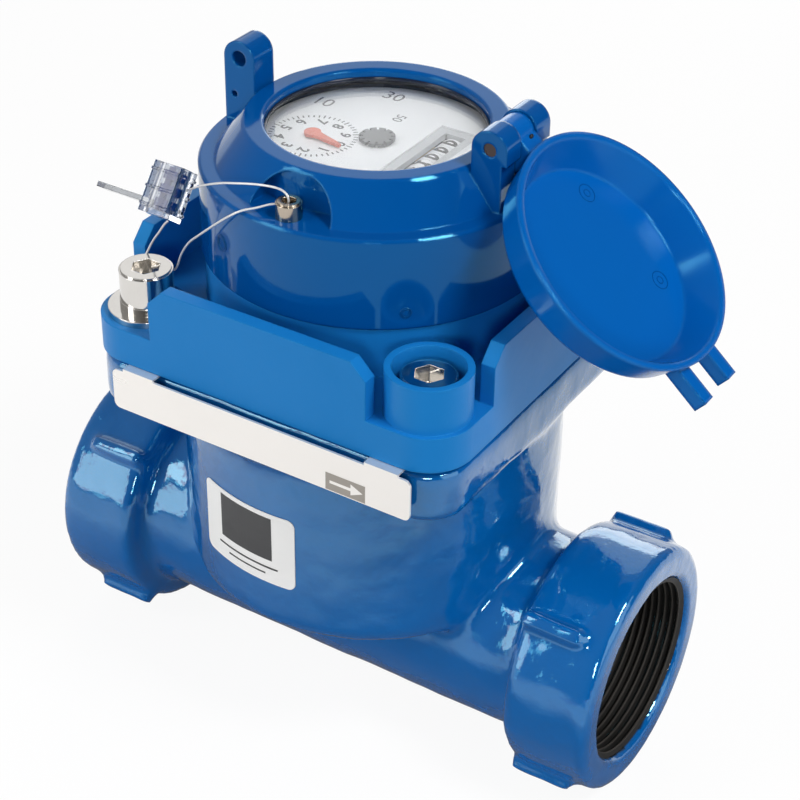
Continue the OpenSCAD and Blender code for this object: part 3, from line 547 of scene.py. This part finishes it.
def end_tree(tree, g_in, g_out, geometry):
    """Ends a tree: instances become real mesh, and the mesh gets the Material input."""
    real = tree.nodes.new("GeometryNodeRealizeInstances")
    paint = tree.nodes.new("GeometryNodeSetMaterial")
    tree.interface.new_socket("Material", in_out="INPUT", socket_type="NodeSocketMaterial")
    tree.links.new(geometry, real.inputs[0])
    tree.links.new(real.outputs[0], paint.inputs["Geometry"])
    tree.links.new(g_in.outputs["Material"], paint.inputs["Material"])
    tree.links.new(paint.outputs[0], g_out.inputs["Geometry"])


def grow(name, tree, body, slot, place=Matrix.Identity(4), smooth=True, **settings):
    """Runs a tree with its settings and leaves a plain mesh piece that rides on a body."""
    piece = link(bpy.data.objects.new(name, bpy.data.meshes.new(name)))
    run = piece.modifiers.new("tree", "NODES")
    run.node_group = tree
    for item in tree.interface.items_tree:
        key = item.name.replace(" ", "_")
        if item.in_out == "INPUT" and key in settings:
            run[item.identifier] = settings[key]
    settle(piece)
    piece.data.transform(place)
    piece.data.polygons.foreach_set("use_smooth", [smooth] * len(piece.data.polygons))
    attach(piece, body)
    print(name, "has", len(piece.data.polygons), "faces")
    return piece


# %% [markdown]
# ## The pipe threads
# A G2 pipe thread has 11 turns to the inch, so its pitch is 2.309 mm and its ridges stand about 1.5 mm in
# from the wall. A spiral is the path, and a ridge shaped like a low trapezium is swept along it. The mesh
# could be written point by point, but the tree shows the rule: radius, pitch and turns.

# %% Thread tree
thread_tree, g_in, g_out = new_tree("pipe_thread", [
    ("Radius", "NodeSocketFloat", 0.02925), ("Pitch", "NodeSocketFloat", 0.002309),
    ("Turns", "NodeSocketFloat", 8.4), ("Ridge Depth", "NodeSocketFloat", 0.0017),
    ("Ridge Foot", "NodeSocketFloat", 0.0021), ("Ridge Crest", "NodeSocketFloat", 0.0004)])
spiral = node(thread_tree, "GeometryNodeCurveSpiral", Resolution=96)
spiral.inputs["Reverse"].default_value = True
length = math_node(thread_tree, "MULTIPLY", g_in.outputs["Pitch"], g_in.outputs["Turns"])
for label in ("Start Radius", "End Radius"):
    thread_tree.links.new(g_in.outputs["Radius"], spiral.inputs[label])
thread_tree.links.new(g_in.outputs["Turns"], spiral.inputs["Rotations"])
thread_tree.links.new(length, spiral.inputs["Height"])
upright = node(thread_tree, "GeometryNodeSetCurveNormal", mode="Z_UP")
ridge = node(thread_tree, "GeometryNodeCurvePrimitiveQuadrilateral", mode="TRAPEZOID")
thread_tree.links.new(g_in.outputs["Ridge Depth"], ridge.inputs["Height"])
thread_tree.links.new(g_in.outputs["Ridge Foot"], ridge.inputs["Bottom Width"])
thread_tree.links.new(g_in.outputs["Ridge Crest"], ridge.inputs["Top Width"])
ridge.inputs["Offset"].default_value = 0
inward = node(thread_tree, "GeometryNodeTransform")
inward.inputs["Rotation"].default_value = (0, 0, math.pi / 2)
sweep = node(thread_tree, "GeometryNodeCurveToMesh")
sweep.inputs["Fill Caps"].default_value = True
thread_tree.links.new(spiral.outputs[0], upright.inputs[0])
thread_tree.links.new(ridge.outputs[0], inward.inputs["Geometry"])
thread_tree.links.new(upright.outputs[0], sweep.inputs["Curve"])
thread_tree.links.new(inward.outputs[0], sweep.inputs["Profile Curve"])
end_tree(thread_tree, g_in, g_out, sweep.outputs[0])

# %% Threads in both collars
CREST_OUTER, CREST_INNER, CREST_WORN = 0.02868, 0.02842, (0.045, 0.040, 0.035)
thread_iron = finish(
    "thread_iron", (0.004, 0.0035, 0.003), (0.007, 0.006, 0.005), (0.5, 0.65),
    bump=0.00005, lump=300, grain=1500)
crest_mask = link_group(thread_iron.node_tree, pipe_way, Outer=CREST_OUTER, Inner=CREST_INNER)
mix_in(thread_iron, crest_mask, CREST_WORN)
MOUTH = 98.8
FIRST_TURN = 0.7
for name, side in (("outlet_pipe_thread", 1), ("inlet_pipe_thread", -1)):
    start = Matrix.Translation(at(side * (MOUTH - FIRST_TURN), 0, 0))
    thread = grow(
        name, thread_tree, "meter", "casting_paint", smooth=False, Material=thread_iron,
        place=start @ Matrix.Rotation(-side * math.pi / 2, 4, "Y"))
    radii = [math.hypot(v.co.y, v.co.z) for v in thread.data.vertices]
    print(name, "from radius", round(min(radii) * 1000, 2), "to", round(max(radii) * 1000, 2), "mm")

# %% [markdown]
# ## Print on the dial
# The dial is read from the left end of the pipe, so the tops of its figures point along the pipe. The ring
# of fifty marks is a rule, so Geometry Nodes puts one mark on each point of a circle and makes every
# fifth one longer. The figures are text, made into mesh and laid a hair above the plate, as ink is.

# %% Mark ring
mark_tree, g_in, g_out = new_tree("dial_marks", [
    ("Count", "NodeSocketInt", 50), ("Radius", "NodeSocketFloat", 0.0126),
    ("Mark Length", "NodeSocketFloat", 0.0013), ("Mark Width", "NodeSocketFloat", 0.00042),
    ("Long Factor", "NodeSocketFloat", 1.5)])
circle = node(mark_tree, "GeometryNodeMeshCircle")
mark_tree.links.new(g_in.outputs["Count"], circle.inputs["Vertices"])
mark_tree.links.new(g_in.outputs["Radius"], circle.inputs["Radius"])
mark = node(mark_tree, "GeometryNodeMeshGrid")
mark.inputs["Vertices X"].default_value = 2
mark.inputs["Vertices Y"].default_value = 2
mark_tree.links.new(g_in.outputs["Mark Length"], mark.inputs["Size X"])
mark_tree.links.new(g_in.outputs["Mark Width"], mark.inputs["Size Y"])
index = mark_tree.nodes.new("GeometryNodeInputIndex").outputs[0]
step = math_node(mark_tree, "DIVIDE", math.tau, g_in.outputs["Count"])
turn = mark_tree.nodes.new("ShaderNodeCombineXYZ")
mark_tree.links.new(math_node(mark_tree, "MULTIPLY", index, step), turn.inputs["Z"])
fifth = math_node(mark_tree, "COMPARE", math_node(mark_tree, "MODULO", index, 5.0), 0.0)
extra = math_node(mark_tree, "SUBTRACT", g_in.outputs["Long Factor"], 1.0)
longer = math_node(mark_tree, "ADD", math_node(mark_tree, "MULTIPLY", fifth, extra), 1.0)
stretch = mark_tree.nodes.new("ShaderNodeCombineXYZ")
stretch.inputs["Y"].default_value = 1
stretch.inputs["Z"].default_value = 1
mark_tree.links.new(longer, stretch.inputs["X"])
spread = mark_tree.nodes.new("GeometryNodeInstanceOnPoints")
mark_tree.links.new(circle.outputs[0], spread.inputs["Points"])
mark_tree.links.new(mark.outputs["Mesh"], spread.inputs["Instance"])
mark_tree.links.new(turn.outputs[0], spread.inputs["Rotation"])
mark_tree.links.new(stretch.outputs[0], spread.inputs["Scale"])
end_tree(mark_tree, g_in, g_out, spread.outputs[0])



# %% Print helpers
def figure_mesh(words, size, weight=0.025):
    """A flat mesh of figures about the origin. Size is in metres, weight is a share of it."""
    curve = bpy.data.curves.new("figures", "FONT")
    curve.body, curve.size, curve.align_x, curve.align_y = words, size, "CENTER", "CENTER"
    curve.resolution_u = 3
    curve.offset = size * weight
    maker = link(bpy.data.objects.new("figures", curve))
    graph = bpy.context.evaluated_depsgraph_get()
    mesh = bpy.data.meshes.new_from_object(maker.evaluated_get(graph))
    bpy.data.objects.remove(maker)
    low_y, high_y = (f(v.co.y for v in mesh.vertices) for f in (min, max))
    mesh.transform(Matrix.Translation((0, -(low_y + high_y) / 2, 0)))
    return mesh


def printed(name, parts, material, body):
    """One piece from several placed meshes."""
    work = bmesh.new()
    for mesh, place in parts:
        mesh.transform(place)
        work.from_mesh(mesh)
    whole = bpy.data.meshes.new(name)
    work.to_mesh(whole)
    work.free()
    whole.materials.append(material)
    piece = link(bpy.data.objects.new(name, whole))
    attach(piece, body)
    print(name, "has", len(whole.polygons), "faces")
    return piece


# %% Marks and figures round the hand
INK_LIFT = 0.03
DIAL_TOP = 153.0
INK_LEVEL = DIAL_TOP + INK_LIFT
HAND_AT = (-17.0, -8.0)
FIGURE_CIRCLE, FIGURE_SIZE, FIGURE_TURN = 9.4, 0.0049, math.radians(36)
READ_ALONG = {"down": Matrix(((0, 1, 0), (-1, 0, 0), (0, 0, 1))).to_4x4(), "across": Matrix.Identity(4)}
ink_grey = finish("ink_grey", (0.030, 0.031, 0.036), (0.024, 0.025, 0.029), (0.4, 0.5), drift=400)
grow("dial_mark_ring", mark_tree, "meter", "dial_white", smooth=False, Material=ink_grey,
     place=Matrix.Translation(at(*HAND_AT, INK_LEVEL)))
figures = []
for k in range(10):
    angle = -FIGURE_TURN * k
    x, y = (HAND_AT[0] + FIGURE_CIRCLE * math.cos(angle), HAND_AT[1] + FIGURE_CIRCLE * math.sin(angle))
    place = Matrix.Translation(at(x, y, INK_LEVEL)) @ READ_ALONG["down"]
    figures.append((figure_mesh(str(k), FIGURE_SIZE), place))
printed("dial_figures", figures, ink_grey, "meter")

# %% Large figures on the dial
LARGE_FIGURES = (("10", -27.0, 12.5, 0.0070, "across"), ("30", -11.5, 27.2, 0.0070, "across"),
                 ("50", -2.2, 15.5, 0.0046, "down"))
ink_pale = finish("ink_pale", (0.115, 0.108, 0.122), (0.095, 0.090, 0.102), (0.4, 0.5), drift=400)
large = []
for words, x, y, size, way in LARGE_FIGURES:
    place = Matrix.Translation(at(x, y, INK_LEVEL)) @ READ_ALONG[way]
    large.append((figure_mesh(words, size, weight=0.0), place))
printed("dial_large_figures", large, ink_pale, "meter")

# %% [markdown]
# ## Figures on the drums
# Each drum carries the figures 0 to 9 round its rim. Flat text is cut into strips and rolled onto the drum,
# because a long triangle would sink into the round. The figures ride on their own drum and turn with it.
# The next figure comes up from below when the drum turns forward, so the order runs backwards round it.

# %% Drum figures
DRUM_X, DRUM_Z, DRUM_RADIUS, DRUM_PITCH, DRUM_COUNT = 17.0, 146.6, 5.0, 5.1, 6
SHOWN = (2, 4, 1, 0, 0, 0)
DRUM_FIGURE_SIZE, DRUM_FIGURE_WEIGHT = 0.0058, 0.05
STRIP, STRIPS_EACH_WAY = 0.0003, 7
ink_black = finish("ink_black", (0.006, 0.006, 0.008), (0.009, 0.009, 0.011), (0.4, 0.5), drift=400)


def rolled(mesh, turn):
    """Rolls a flat figure onto a drum about the origin that lies along Y."""
    work = bmesh.new()
    work.from_mesh(mesh)
    for k in range(-STRIPS_EACH_WAY, STRIPS_EACH_WAY + 1):
        everything = work.verts[:] + work.edges[:] + work.faces[:]
        bmesh.ops.bisect_plane(work, geom=everything, plane_co=(0, k * STRIP, 0), plane_no=(0, 1, 0))
    radius = (DRUM_RADIUS + INK_LIFT) / 1000
    for vert in work.verts:
        angle = vert.co.y / radius + turn
        vert.co = (radius * math.sin(angle), -vert.co.x, radius * math.cos(angle))
    out = bpy.data.meshes.new("rolled")
    work.to_mesh(out)
    work.free()
    return out


for drum, shown in enumerate(SHOWN, 1):
    middle = at(DRUM_X, (drum - (DRUM_COUNT + 1) / 2) * DRUM_PITCH, DRUM_Z)
    row = []
    for figure in range(10):
        flat = figure_mesh(str(figure), DRUM_FIGURE_SIZE, DRUM_FIGURE_WEIGHT)
        row.append((rolled(flat, -FIGURE_TURN * (figure - shown)), Matrix.Translation(middle)))
    printed(f"drum_{drum}_figures", row, ink_black, f"drum_{drum}")

# %% [markdown]
# ## The drum window
# Round the drums the dial steps down on a sloped side that lies in shade. That shade is painted: a thin flat
# frame of pale grey laid in the step. Three thin aprons in the same painted shade hang from it and hide the
# works beside the drums.

# %% Window frame
# The pale grey of the frame and the aprons is painted shade for the sloped side round the drums.
window_grey = finish("window_grey", (0.58, 0.59, 0.605), (0.54, 0.55, 0.565), (0.4, 0.5), drift=200)
STEP_DROP = 0.5
STEP_LEVEL = DIAL_TOP - STEP_DROP + INK_LIFT
SLOT_SIZE = (7.0, DRUM_COUNT * DRUM_PITCH + 1)
FRAME_RIM = 2.95
CORNERS = ((-1, -1), (1, -1), (1, 1), (-1, 1))


def flat_frame(name, inner, rim, level):
    """A flat frame round the drums: its inner size, the width of its rim and its height."""
    work = bmesh.new()
    rows = []
    for size in (inner, (inner[0] + 2 * rim, inner[1] + 2 * rim)):
        rows.append([work.verts.new(at(DRUM_X + sx * size[0] / 2, sy * size[1] / 2, level)) for sx, sy in CORNERS])
    for k in range(4):
        work.faces.new((rows[1][k], rows[1][(k + 1) % 4], rows[0][(k + 1) % 4], rows[0][k]))
    mesh = bpy.data.meshes.new(name)
    work.to_mesh(mesh)
    work.free()
    printed(name, [(mesh, Matrix.Identity(4))], window_grey, "meter")


flat_frame("window_frame", SLOT_SIZE, FRAME_RIM, STEP_LEVEL)

# %% Window aprons
APRON_LOW = 150.75
APRON_CLEAR, APRON_GAP, SIDE_THICK, END_THICK = 0.02, 0.4, 0.15, 0.12


def apron(name, corners, thick):
    """A thin wall that hangs from the window's edge, from one plan corner to the other."""
    (x0, y0), (x1, y1) = corners
    out = Vector((y1 - y0, x0 - x1)).normalized() * thick
    plan = ((x0, y0), (x1, y1), (x1 + out.x, y1 + out.y), (x0 + out.x, y0 + out.y))
    work = bmesh.new()
    rows = [[work.verts.new(at(x, y, z)) for x, y in plan] for z in (APRON_LOW, STEP_LEVEL)]
    for k in range(4):
        work.faces.new((rows[0][k], rows[0][(k + 1) % 4], rows[1][(k + 1) % 4], rows[1][k]))
    work.faces.new(rows[1])
    work.faces.new(rows[0][::-1])
    bmesh.ops.recalc_face_normals(work, faces=work.faces)
    mesh = bpy.data.meshes.new(name)
    work.to_mesh(mesh)
    work.free()
    printed(name, [(mesh, Matrix.Identity(4))], window_grey, "meter")


left = DRUM_X - SLOT_SIZE[0] / 2 + APRON_CLEAR
right = DRUM_X + SLOT_SIZE[0] / 2 - APRON_CLEAR
end = SLOT_SIZE[1] / 2 - APRON_CLEAR
apron("window_apron_side", ((left, end), (left, -end)), -SIDE_THICK)
apron("window_apron_far", ((left + APRON_GAP, end), (right, end)), END_THICK)
apron("window_apron_near", ((left + APRON_GAP, -end), (right, -end)), -END_THICK)

# %% [markdown]
# ## The lens lip
# The black gasket of the lens turns up against the inside of the bezel and shows as a dark band over the
# glass. Its dark blue tint is a painted reflection. It is a ring with a rounded section, made by turning
# that section round the middle of the dial.

# %% Lens lip
LIP_SECTION = [(31.85, 157.24), (32.32, 157.24), (32.32, 158.7), (32.2, 158.9), (32.0, 158.9), (31.85, 158.7)]
LIP_STEPS = 120


def turned(name, section, steps, material, body):
    """A closed section in millimetres, turned round the dial's middle."""
    work = bmesh.new()
    rings = []
    for k in range(steps):
        angle = math.tau * k / steps
        rings.append([work.verts.new(at(r * math.cos(angle), r * math.sin(angle), z)) for r, z in section])
    for one, two in zip(rings, rings[1:] + rings[:1]):
        for j in range(len(section)):
            n = (j + 1) % len(section)
            work.faces.new((one[j], two[j], two[n], one[n]))
    bmesh.ops.recalc_face_normals(work, faces=work.faces)
    mesh = bpy.data.meshes.new(name)
    work.to_mesh(mesh)
    work.free()
    piece = printed(name, [(mesh, Matrix.Identity(4))], material, body)
    piece.data.polygons.foreach_set("use_smooth", [True] * len(piece.data.polygons))


# The lip is black gasket, and its dark blue tint is painted reflection.
lip_dark = finish("lip_dark", (0.005, 0.010, 0.028), (0.007, 0.014, 0.036), (0.08, 0.16), drift=60)
turned("lens_gasket_lip", LIP_SECTION, LIP_STEPS, lip_dark, "meter")

# %% [markdown]
# ## Print on the label and the plate
# The label's picture and words are left off, and a plain dark square with two plain bars stands in their
# place. The square is bent round the bowl like the film under it. The plate keeps only its flow arrow.

# %% Label print
LABEL_ANGLE = math.radians(-98)
LABEL_LIFT = 0.00004
LABEL_RADIUS = max(math.hypot(v.co.x - MID_X, v.co.y) for v in nodes["label"].data.vertices) + LABEL_LIFT
PATCH_PARTS = 16
LABEL_SQUARE, LONG_BAR, SHORT_BAR = (-10.2, 10.5, 39.6, 55.4), (-11.5, 12.5, 36.4, 37.1), (-7, 8, 34.0, 34.6)
label_ink = finish("label_ink", (0.052, 0.053, 0.056), (0.044, 0.045, 0.048), (0.3, 0.4), drift=200)


def bent_patch(left, right, low, high):
    """A patch on the bowl, from arc left to arc right and between two heights, in millimetres."""
    work = bmesh.new()
    columns = []
    for k in range(PATCH_PARTS + 1):
        angle = LABEL_ANGLE + (left + (right - left) * k / PATCH_PARTS) / 1000 / LABEL_RADIUS
        x, y = LABEL_RADIUS * math.cos(angle), LABEL_RADIUS * math.sin(angle)
        columns.append([work.verts.new((MID_X + x, y, h / 1000)) for h in (low, high)])
    for one, two in zip(columns, columns[1:]):
        work.faces.new((one[0], two[0], two[1], one[1]))
    mesh = bpy.data.meshes.new("patch")
    work.to_mesh(mesh)
    work.free()
    return mesh, Matrix.Identity(4)


patches = [bent_patch(*sides) for sides in (LABEL_SQUARE, LONG_BAR, SHORT_BAR)]
printed("label_print", patches, label_ink, "meter")

# %% Flow arrow
arrow_beige = finish("arrow_beige", (0.36, 0.33, 0.29), (0.32, 0.29, 0.26), (0.35, 0.45), drift=150)
PLATE_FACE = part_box("nameplate")[0][1]
BOX_LIFT, ARROW_LIFT = 0.00003, 0.00006
FLOW_BOX = [(25.8, 80.2), (39.0, 80.2), (39.0, 86.0), (25.8, 86.0)]
ARROW = [(27.2, 82.6), (34.2, 82.6), (34.2, 81.2), (38.2, 83.1), (34.2, 85.0), (34.2, 83.6), (27.2, 83.6)]


def upright_patch(corners, lift):
    """A flat patch on the face of the plate, from corners in millimetres."""
    work = bmesh.new()
    work.faces.new([work.verts.new((MID_X + x / 1000, PLATE_FACE - lift, z / 1000)) for x, z in corners])
    mesh = bpy.data.meshes.new("patch")
    work.to_mesh(mesh)
    work.free()
    return mesh, Matrix.Identity(4)


printed("flow_box", [upright_patch(FLOW_BOX, BOX_LIFT)], arrow_beige, "meter")
printed("flow_arrow", [upright_patch(ARROW, ARROW_LIFT)], plate_steel, "meter")

# %% [markdown]
# ## Marks of the mould
# Plastic pieces keep the prints of the pins that push them out of the mould. They are low rings, one in
# the other, the same shape in several places, so one tree makes them all from a list of places and
# facings. A very small dark one is painted shade that stands for the hole in the lid's knuckle.

# %% Mould mark tree
pin_tree, g_in, g_out = new_tree("pin_mark", [
    ("Radius", "NodeSocketFloat", 0.0020), ("Bead", "NodeSocketFloat", 0.00018), ("Button", "NodeSocketFloat", 0.4)])
outer = node(pin_tree, "GeometryNodeCurvePrimitiveCircle", mode="RADIUS", Resolution=40)
pin_tree.links.new(g_in.outputs["Radius"], outer.inputs["Radius"])
small_r = math_node(pin_tree, "MULTIPLY", g_in.outputs["Radius"], g_in.outputs["Button"])
inner = node(pin_tree, "GeometryNodeCurvePrimitiveCircle", mode="RADIUS", Resolution=24)
pin_tree.links.new(small_r, inner.inputs["Radius"])
both = pin_tree.nodes.new("GeometryNodeJoinGeometry")
bead = node(pin_tree, "GeometryNodeCurvePrimitiveCircle", mode="RADIUS", Resolution=8)
pin_tree.links.new(g_in.outputs["Bead"], bead.inputs["Radius"])
for one in (outer, inner):
    pin_tree.links.new(one.outputs[0], both.inputs[0])
roll = pin_tree.nodes.new("GeometryNodeCurveToMesh")
pin_tree.links.new(both.outputs[0], roll.inputs["Curve"])
pin_tree.links.new(bead.outputs[0], roll.inputs["Profile Curve"])
end_tree(pin_tree, g_in, g_out, roll.outputs[0])


# %% Mould marks
def facing(spot, out):
    """Where a mark lies flat at a spot and faces out."""
    return Matrix.Translation(spot) @ Vector(out).to_track_quat("Z", "Y").to_matrix().to_4x4()


LID_OUT = (0.661, 0, 0.75)
MOULD_MARKS = (
    ("lid_pin_mark_upper", "lid", lid_blue, at(60.87, 14.77, 148.28), LID_OUT, 0.0028, 0.00012, 0.4),
    ("lid_pin_mark_lower", "lid", lid_blue, at(84.97, 16.31, 127.04), LID_OUT, 0.0028, 0.00012, 0.4),
    ("lid_hinge_mark", "lid", lid_blue, at(46.4, 1.0, 170.9), (0.5, 0, 0.87), 0.0016, 0.00014, 0.8),
    # The dark hinge dot is painted shade standing for the hole in the lid's knuckle.
    ("lid_hinge_dimple", "lid", black_rubber, at(49.52, 0.96, 168.29), (1, 0, 0.05), 0.0006, 0.0003, 0.4),
    ("ring_pin_mark", "meter", ring_blue, at(-21.31, -47.09, 135.37), (-0.405, -0.914, 0), 0.0024, 0.00022, 0.7),
    ("ring_pin_mark_right", "meter", ring_blue, at(34.56, -38.44, 126.9), (0.653, -0.757, 0), 0.0016, 0.00018, 0.6))
for name, body, material, spot, out, radius, bead_size, button in MOULD_MARKS:
    grow(name, pin_tree, body, "ring_plastic", place=facing(spot, out),
         Radius=radius, Bead=bead_size, Button=button, Material=material)

# %% [markdown]
# ## The stage
# A white sheet, seven soft lamps and a dim room make the studio of the photograph. The sheet ends a little
# in front of the meter on a slant. Light Path tells the rays apart: the camera, mirrors and glass see the
# sheet as white, and a small share of plain floor keeps the shadow. That white would hide the shadow in
# mirrors, so there the sheet darkens near the meter.

# %% Floor sheet
SHEET_FRONT, SHEET_BACK, SHEET_HALF, SHEET_SLANT = 0.20, 3.0, 3.0, 0.15
FLOOR_GAP = 0.0003
floor = link(bpy.data.objects.new("floor", bpy.data.meshes.new("floor")))
to_camera = Vector((math.sin(AZIMUTH), -math.cos(AZIMUTH), 0))
along = Vector((math.cos(AZIMUTH), math.sin(AZIMUTH), 0))
slant = SHEET_SLANT * SHEET_HALF
sheet = ((SHEET_FRONT + slant, -SHEET_HALF), (SHEET_FRONT - slant, SHEET_HALF),
         (-SHEET_BACK, SHEET_HALF), (-SHEET_BACK, -SHEET_HALF))
work = bmesh.new()
work.faces.new([work.verts.new(at(0, 0, 0) + to_camera * f + along * s) for f, s in sheet])
work.to_mesh(floor.data)
work.free()
floor.location = (0, 0, cad_box[0][2] - FLOOR_GAP)

# %% Floor material
FLOOR_COLOUR = (0.93, 0.93, 0.93, 1)
WHITE_SHARE = 0.92
SHADE_X, SHADE_Y, SHADE_STRETCH = MID_X + 0.02, -0.035, 0.6
SHADE_NEAR, SHADE_FAR, SHADE_DARK = 0.075, 0.145, 0.10
floor_pale = bpy.data.materials.new("floor_pale")
floor_pale.use_nodes = True
tree = floor_pale.node_tree
main = tree.nodes["Principled BSDF"]
main.inputs["Base Color"].default_value = FLOOR_COLOUR
main.inputs["Roughness"].default_value = 0.9
paths = tree.nodes.new("ShaderNodeLightPath")
direct = math_node(tree, "MAXIMUM", paths.outputs["Is Camera Ray"], paths.outputs["Is Transmission Ray"])
seen = math_node(tree, "MAXIMUM", direct, paths.outputs["Is Glossy Ray"])
white = node(tree, "ShaderNodeEmission", Strength=1.0)
place = node(tree, "ShaderNodeMapping", Location=(-SHADE_STRETCH * SHADE_X, -SHADE_Y, 0), Scale=(SHADE_STRETCH, 1, 0))
tree.links.new(tree.nodes.new("ShaderNodeTexCoord").outputs["Object"], place.inputs["Vector"])
reach = node(tree, "ShaderNodeVectorMath", operation="LENGTH")
tree.links.new(place.outputs[0], reach.inputs[0])
shade = node(tree, "ShaderNodeMapRange", **{
    "From Min": SHADE_NEAR, "From Max": SHADE_FAR, "To Min": SHADE_DARK, "To Max": 1.0})
tree.links.new(reach.outputs["Value"], shade.inputs["Value"])
not_mirror = math_node(tree, "SUBTRACT", 1.0, paths.outputs["Is Glossy Ray"])
tree.links.new(math_node(tree, "MAXIMUM", shade.outputs["Result"], not_mirror), white.inputs["Strength"])
blend = tree.nodes.new("ShaderNodeMixShader")
tree.links.new(math_node(tree, "MULTIPLY", seen, WHITE_SHARE), blend.inputs[0])
tree.links.new(main.outputs[0], blend.inputs[1])
tree.links.new(white.outputs[0], blend.inputs[2])
tree.links.new(blend.outputs[0], tree.nodes["Material Output"].inputs["Surface"])
floor.data.materials.append(floor_pale)

# %% [markdown]
# ## Lamps and room
# Each lamp is a rectangle of light, and its mirror image is one of the pale patches on the enamel, the ring
# or the metal. Small lamps give sharp patches, wide ones give soft sheen. The room is brighter on the left.
# The camera and glass see it white. Mirrors see it white below the horizon, where the sheet would go on,
# and dim above it, because the photograph's mirror images are dark there.

# %% Lamps
LAMP_AIM = at(0, 0, 60)


def softbox(name, place, size, power):
    """A rectangle of light at a place, turned to the meter. Size is in metres, power in watts."""
    data = bpy.data.lights.new(name, "AREA")
    data.shape = "RECTANGLE"
    data.size, data.size_y = size
    data.energy = power
    lamp = link(bpy.data.objects.new(name, data))
    lamp.location = place
    lamp.rotation_euler = (LAMP_AIM - place).to_track_quat("-Z", "Y").to_euler()


softbox("back_left", at(-560, 900, 780), (0.9, 0.9), 1.7)
softbox("front_left", at(-600, -720, 840), (0.40, 0.40), 3.0)
softbox("low_left", at(-530, -790, 250), (0.40, 0.50), 2.2)
softbox("front_right", at(560, -960, 500), (0.18, 0.22), 3.0)
softbox("upper_right", at(720, -120, 1020), (0.30, 0.30), 8.0)
softbox("low_right", at(820, -60, 330), (0.60, 0.60), 2.0)
softbox("low_back", at(-380, 900, 260), (0.60, 0.40), 1.8)

# %% World
GLOW_LEFT, GLOW_RIGHT, GLOW_FROM, GLOW_TO = 0.38, 0.04, -0.8, 0.6
HORIZON_FROM, HORIZON_TO = -0.02, -0.10
world = bpy.data.worlds.new("studio")
bpy.context.scene.world = world
world.use_nodes = True
tree = world.node_tree
paths = tree.nodes.new("ShaderNodeLightPath")
way = tree.nodes.new("ShaderNodeTexCoord")
split = tree.nodes.new("ShaderNodeSeparateXYZ")
tree.links.new(way.outputs["Generated"], split.inputs[0])
glow = node(tree, "ShaderNodeMapRange", **{
    "From Min": GLOW_FROM, "From Max": GLOW_TO, "To Min": GLOW_LEFT, "To Max": GLOW_RIGHT})
tree.links.new(split.outputs["X"], glow.inputs["Value"])
below = node(tree, "ShaderNodeMapRange", **{
    "From Min": HORIZON_FROM, "From Max": HORIZON_TO, "To Min": 0.0, "To Max": 1.0})
tree.links.new(split.outputs["Z"], below.inputs["Value"])
mirrored = math_node(tree, "MULTIPLY", paths.outputs["Is Glossy Ray"], below.outputs["Result"])
direct = math_node(tree, "MAXIMUM", paths.outputs["Is Camera Ray"], paths.outputs["Is Transmission Ray"])
seen = math_node(tree, "MAXIMUM", direct, mirrored)
level = node(tree, "ShaderNodeMix", data_type="FLOAT")
tree.links.new(seen, level.inputs["Factor"])
tree.links.new(glow.outputs["Result"], level.inputs[2])
level.inputs[3].default_value = 1.0
tree.links.new(level.outputs[0], tree.nodes["Background"].inputs["Strength"])
tree.nodes["Background"].inputs["Color"].default_value = (1, 1, 1, 1)
bpy.context.scene.view_settings.view_transform = "Standard"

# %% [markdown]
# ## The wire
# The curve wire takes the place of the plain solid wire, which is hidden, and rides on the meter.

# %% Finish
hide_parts("seal_wire")
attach(wire, "meter")
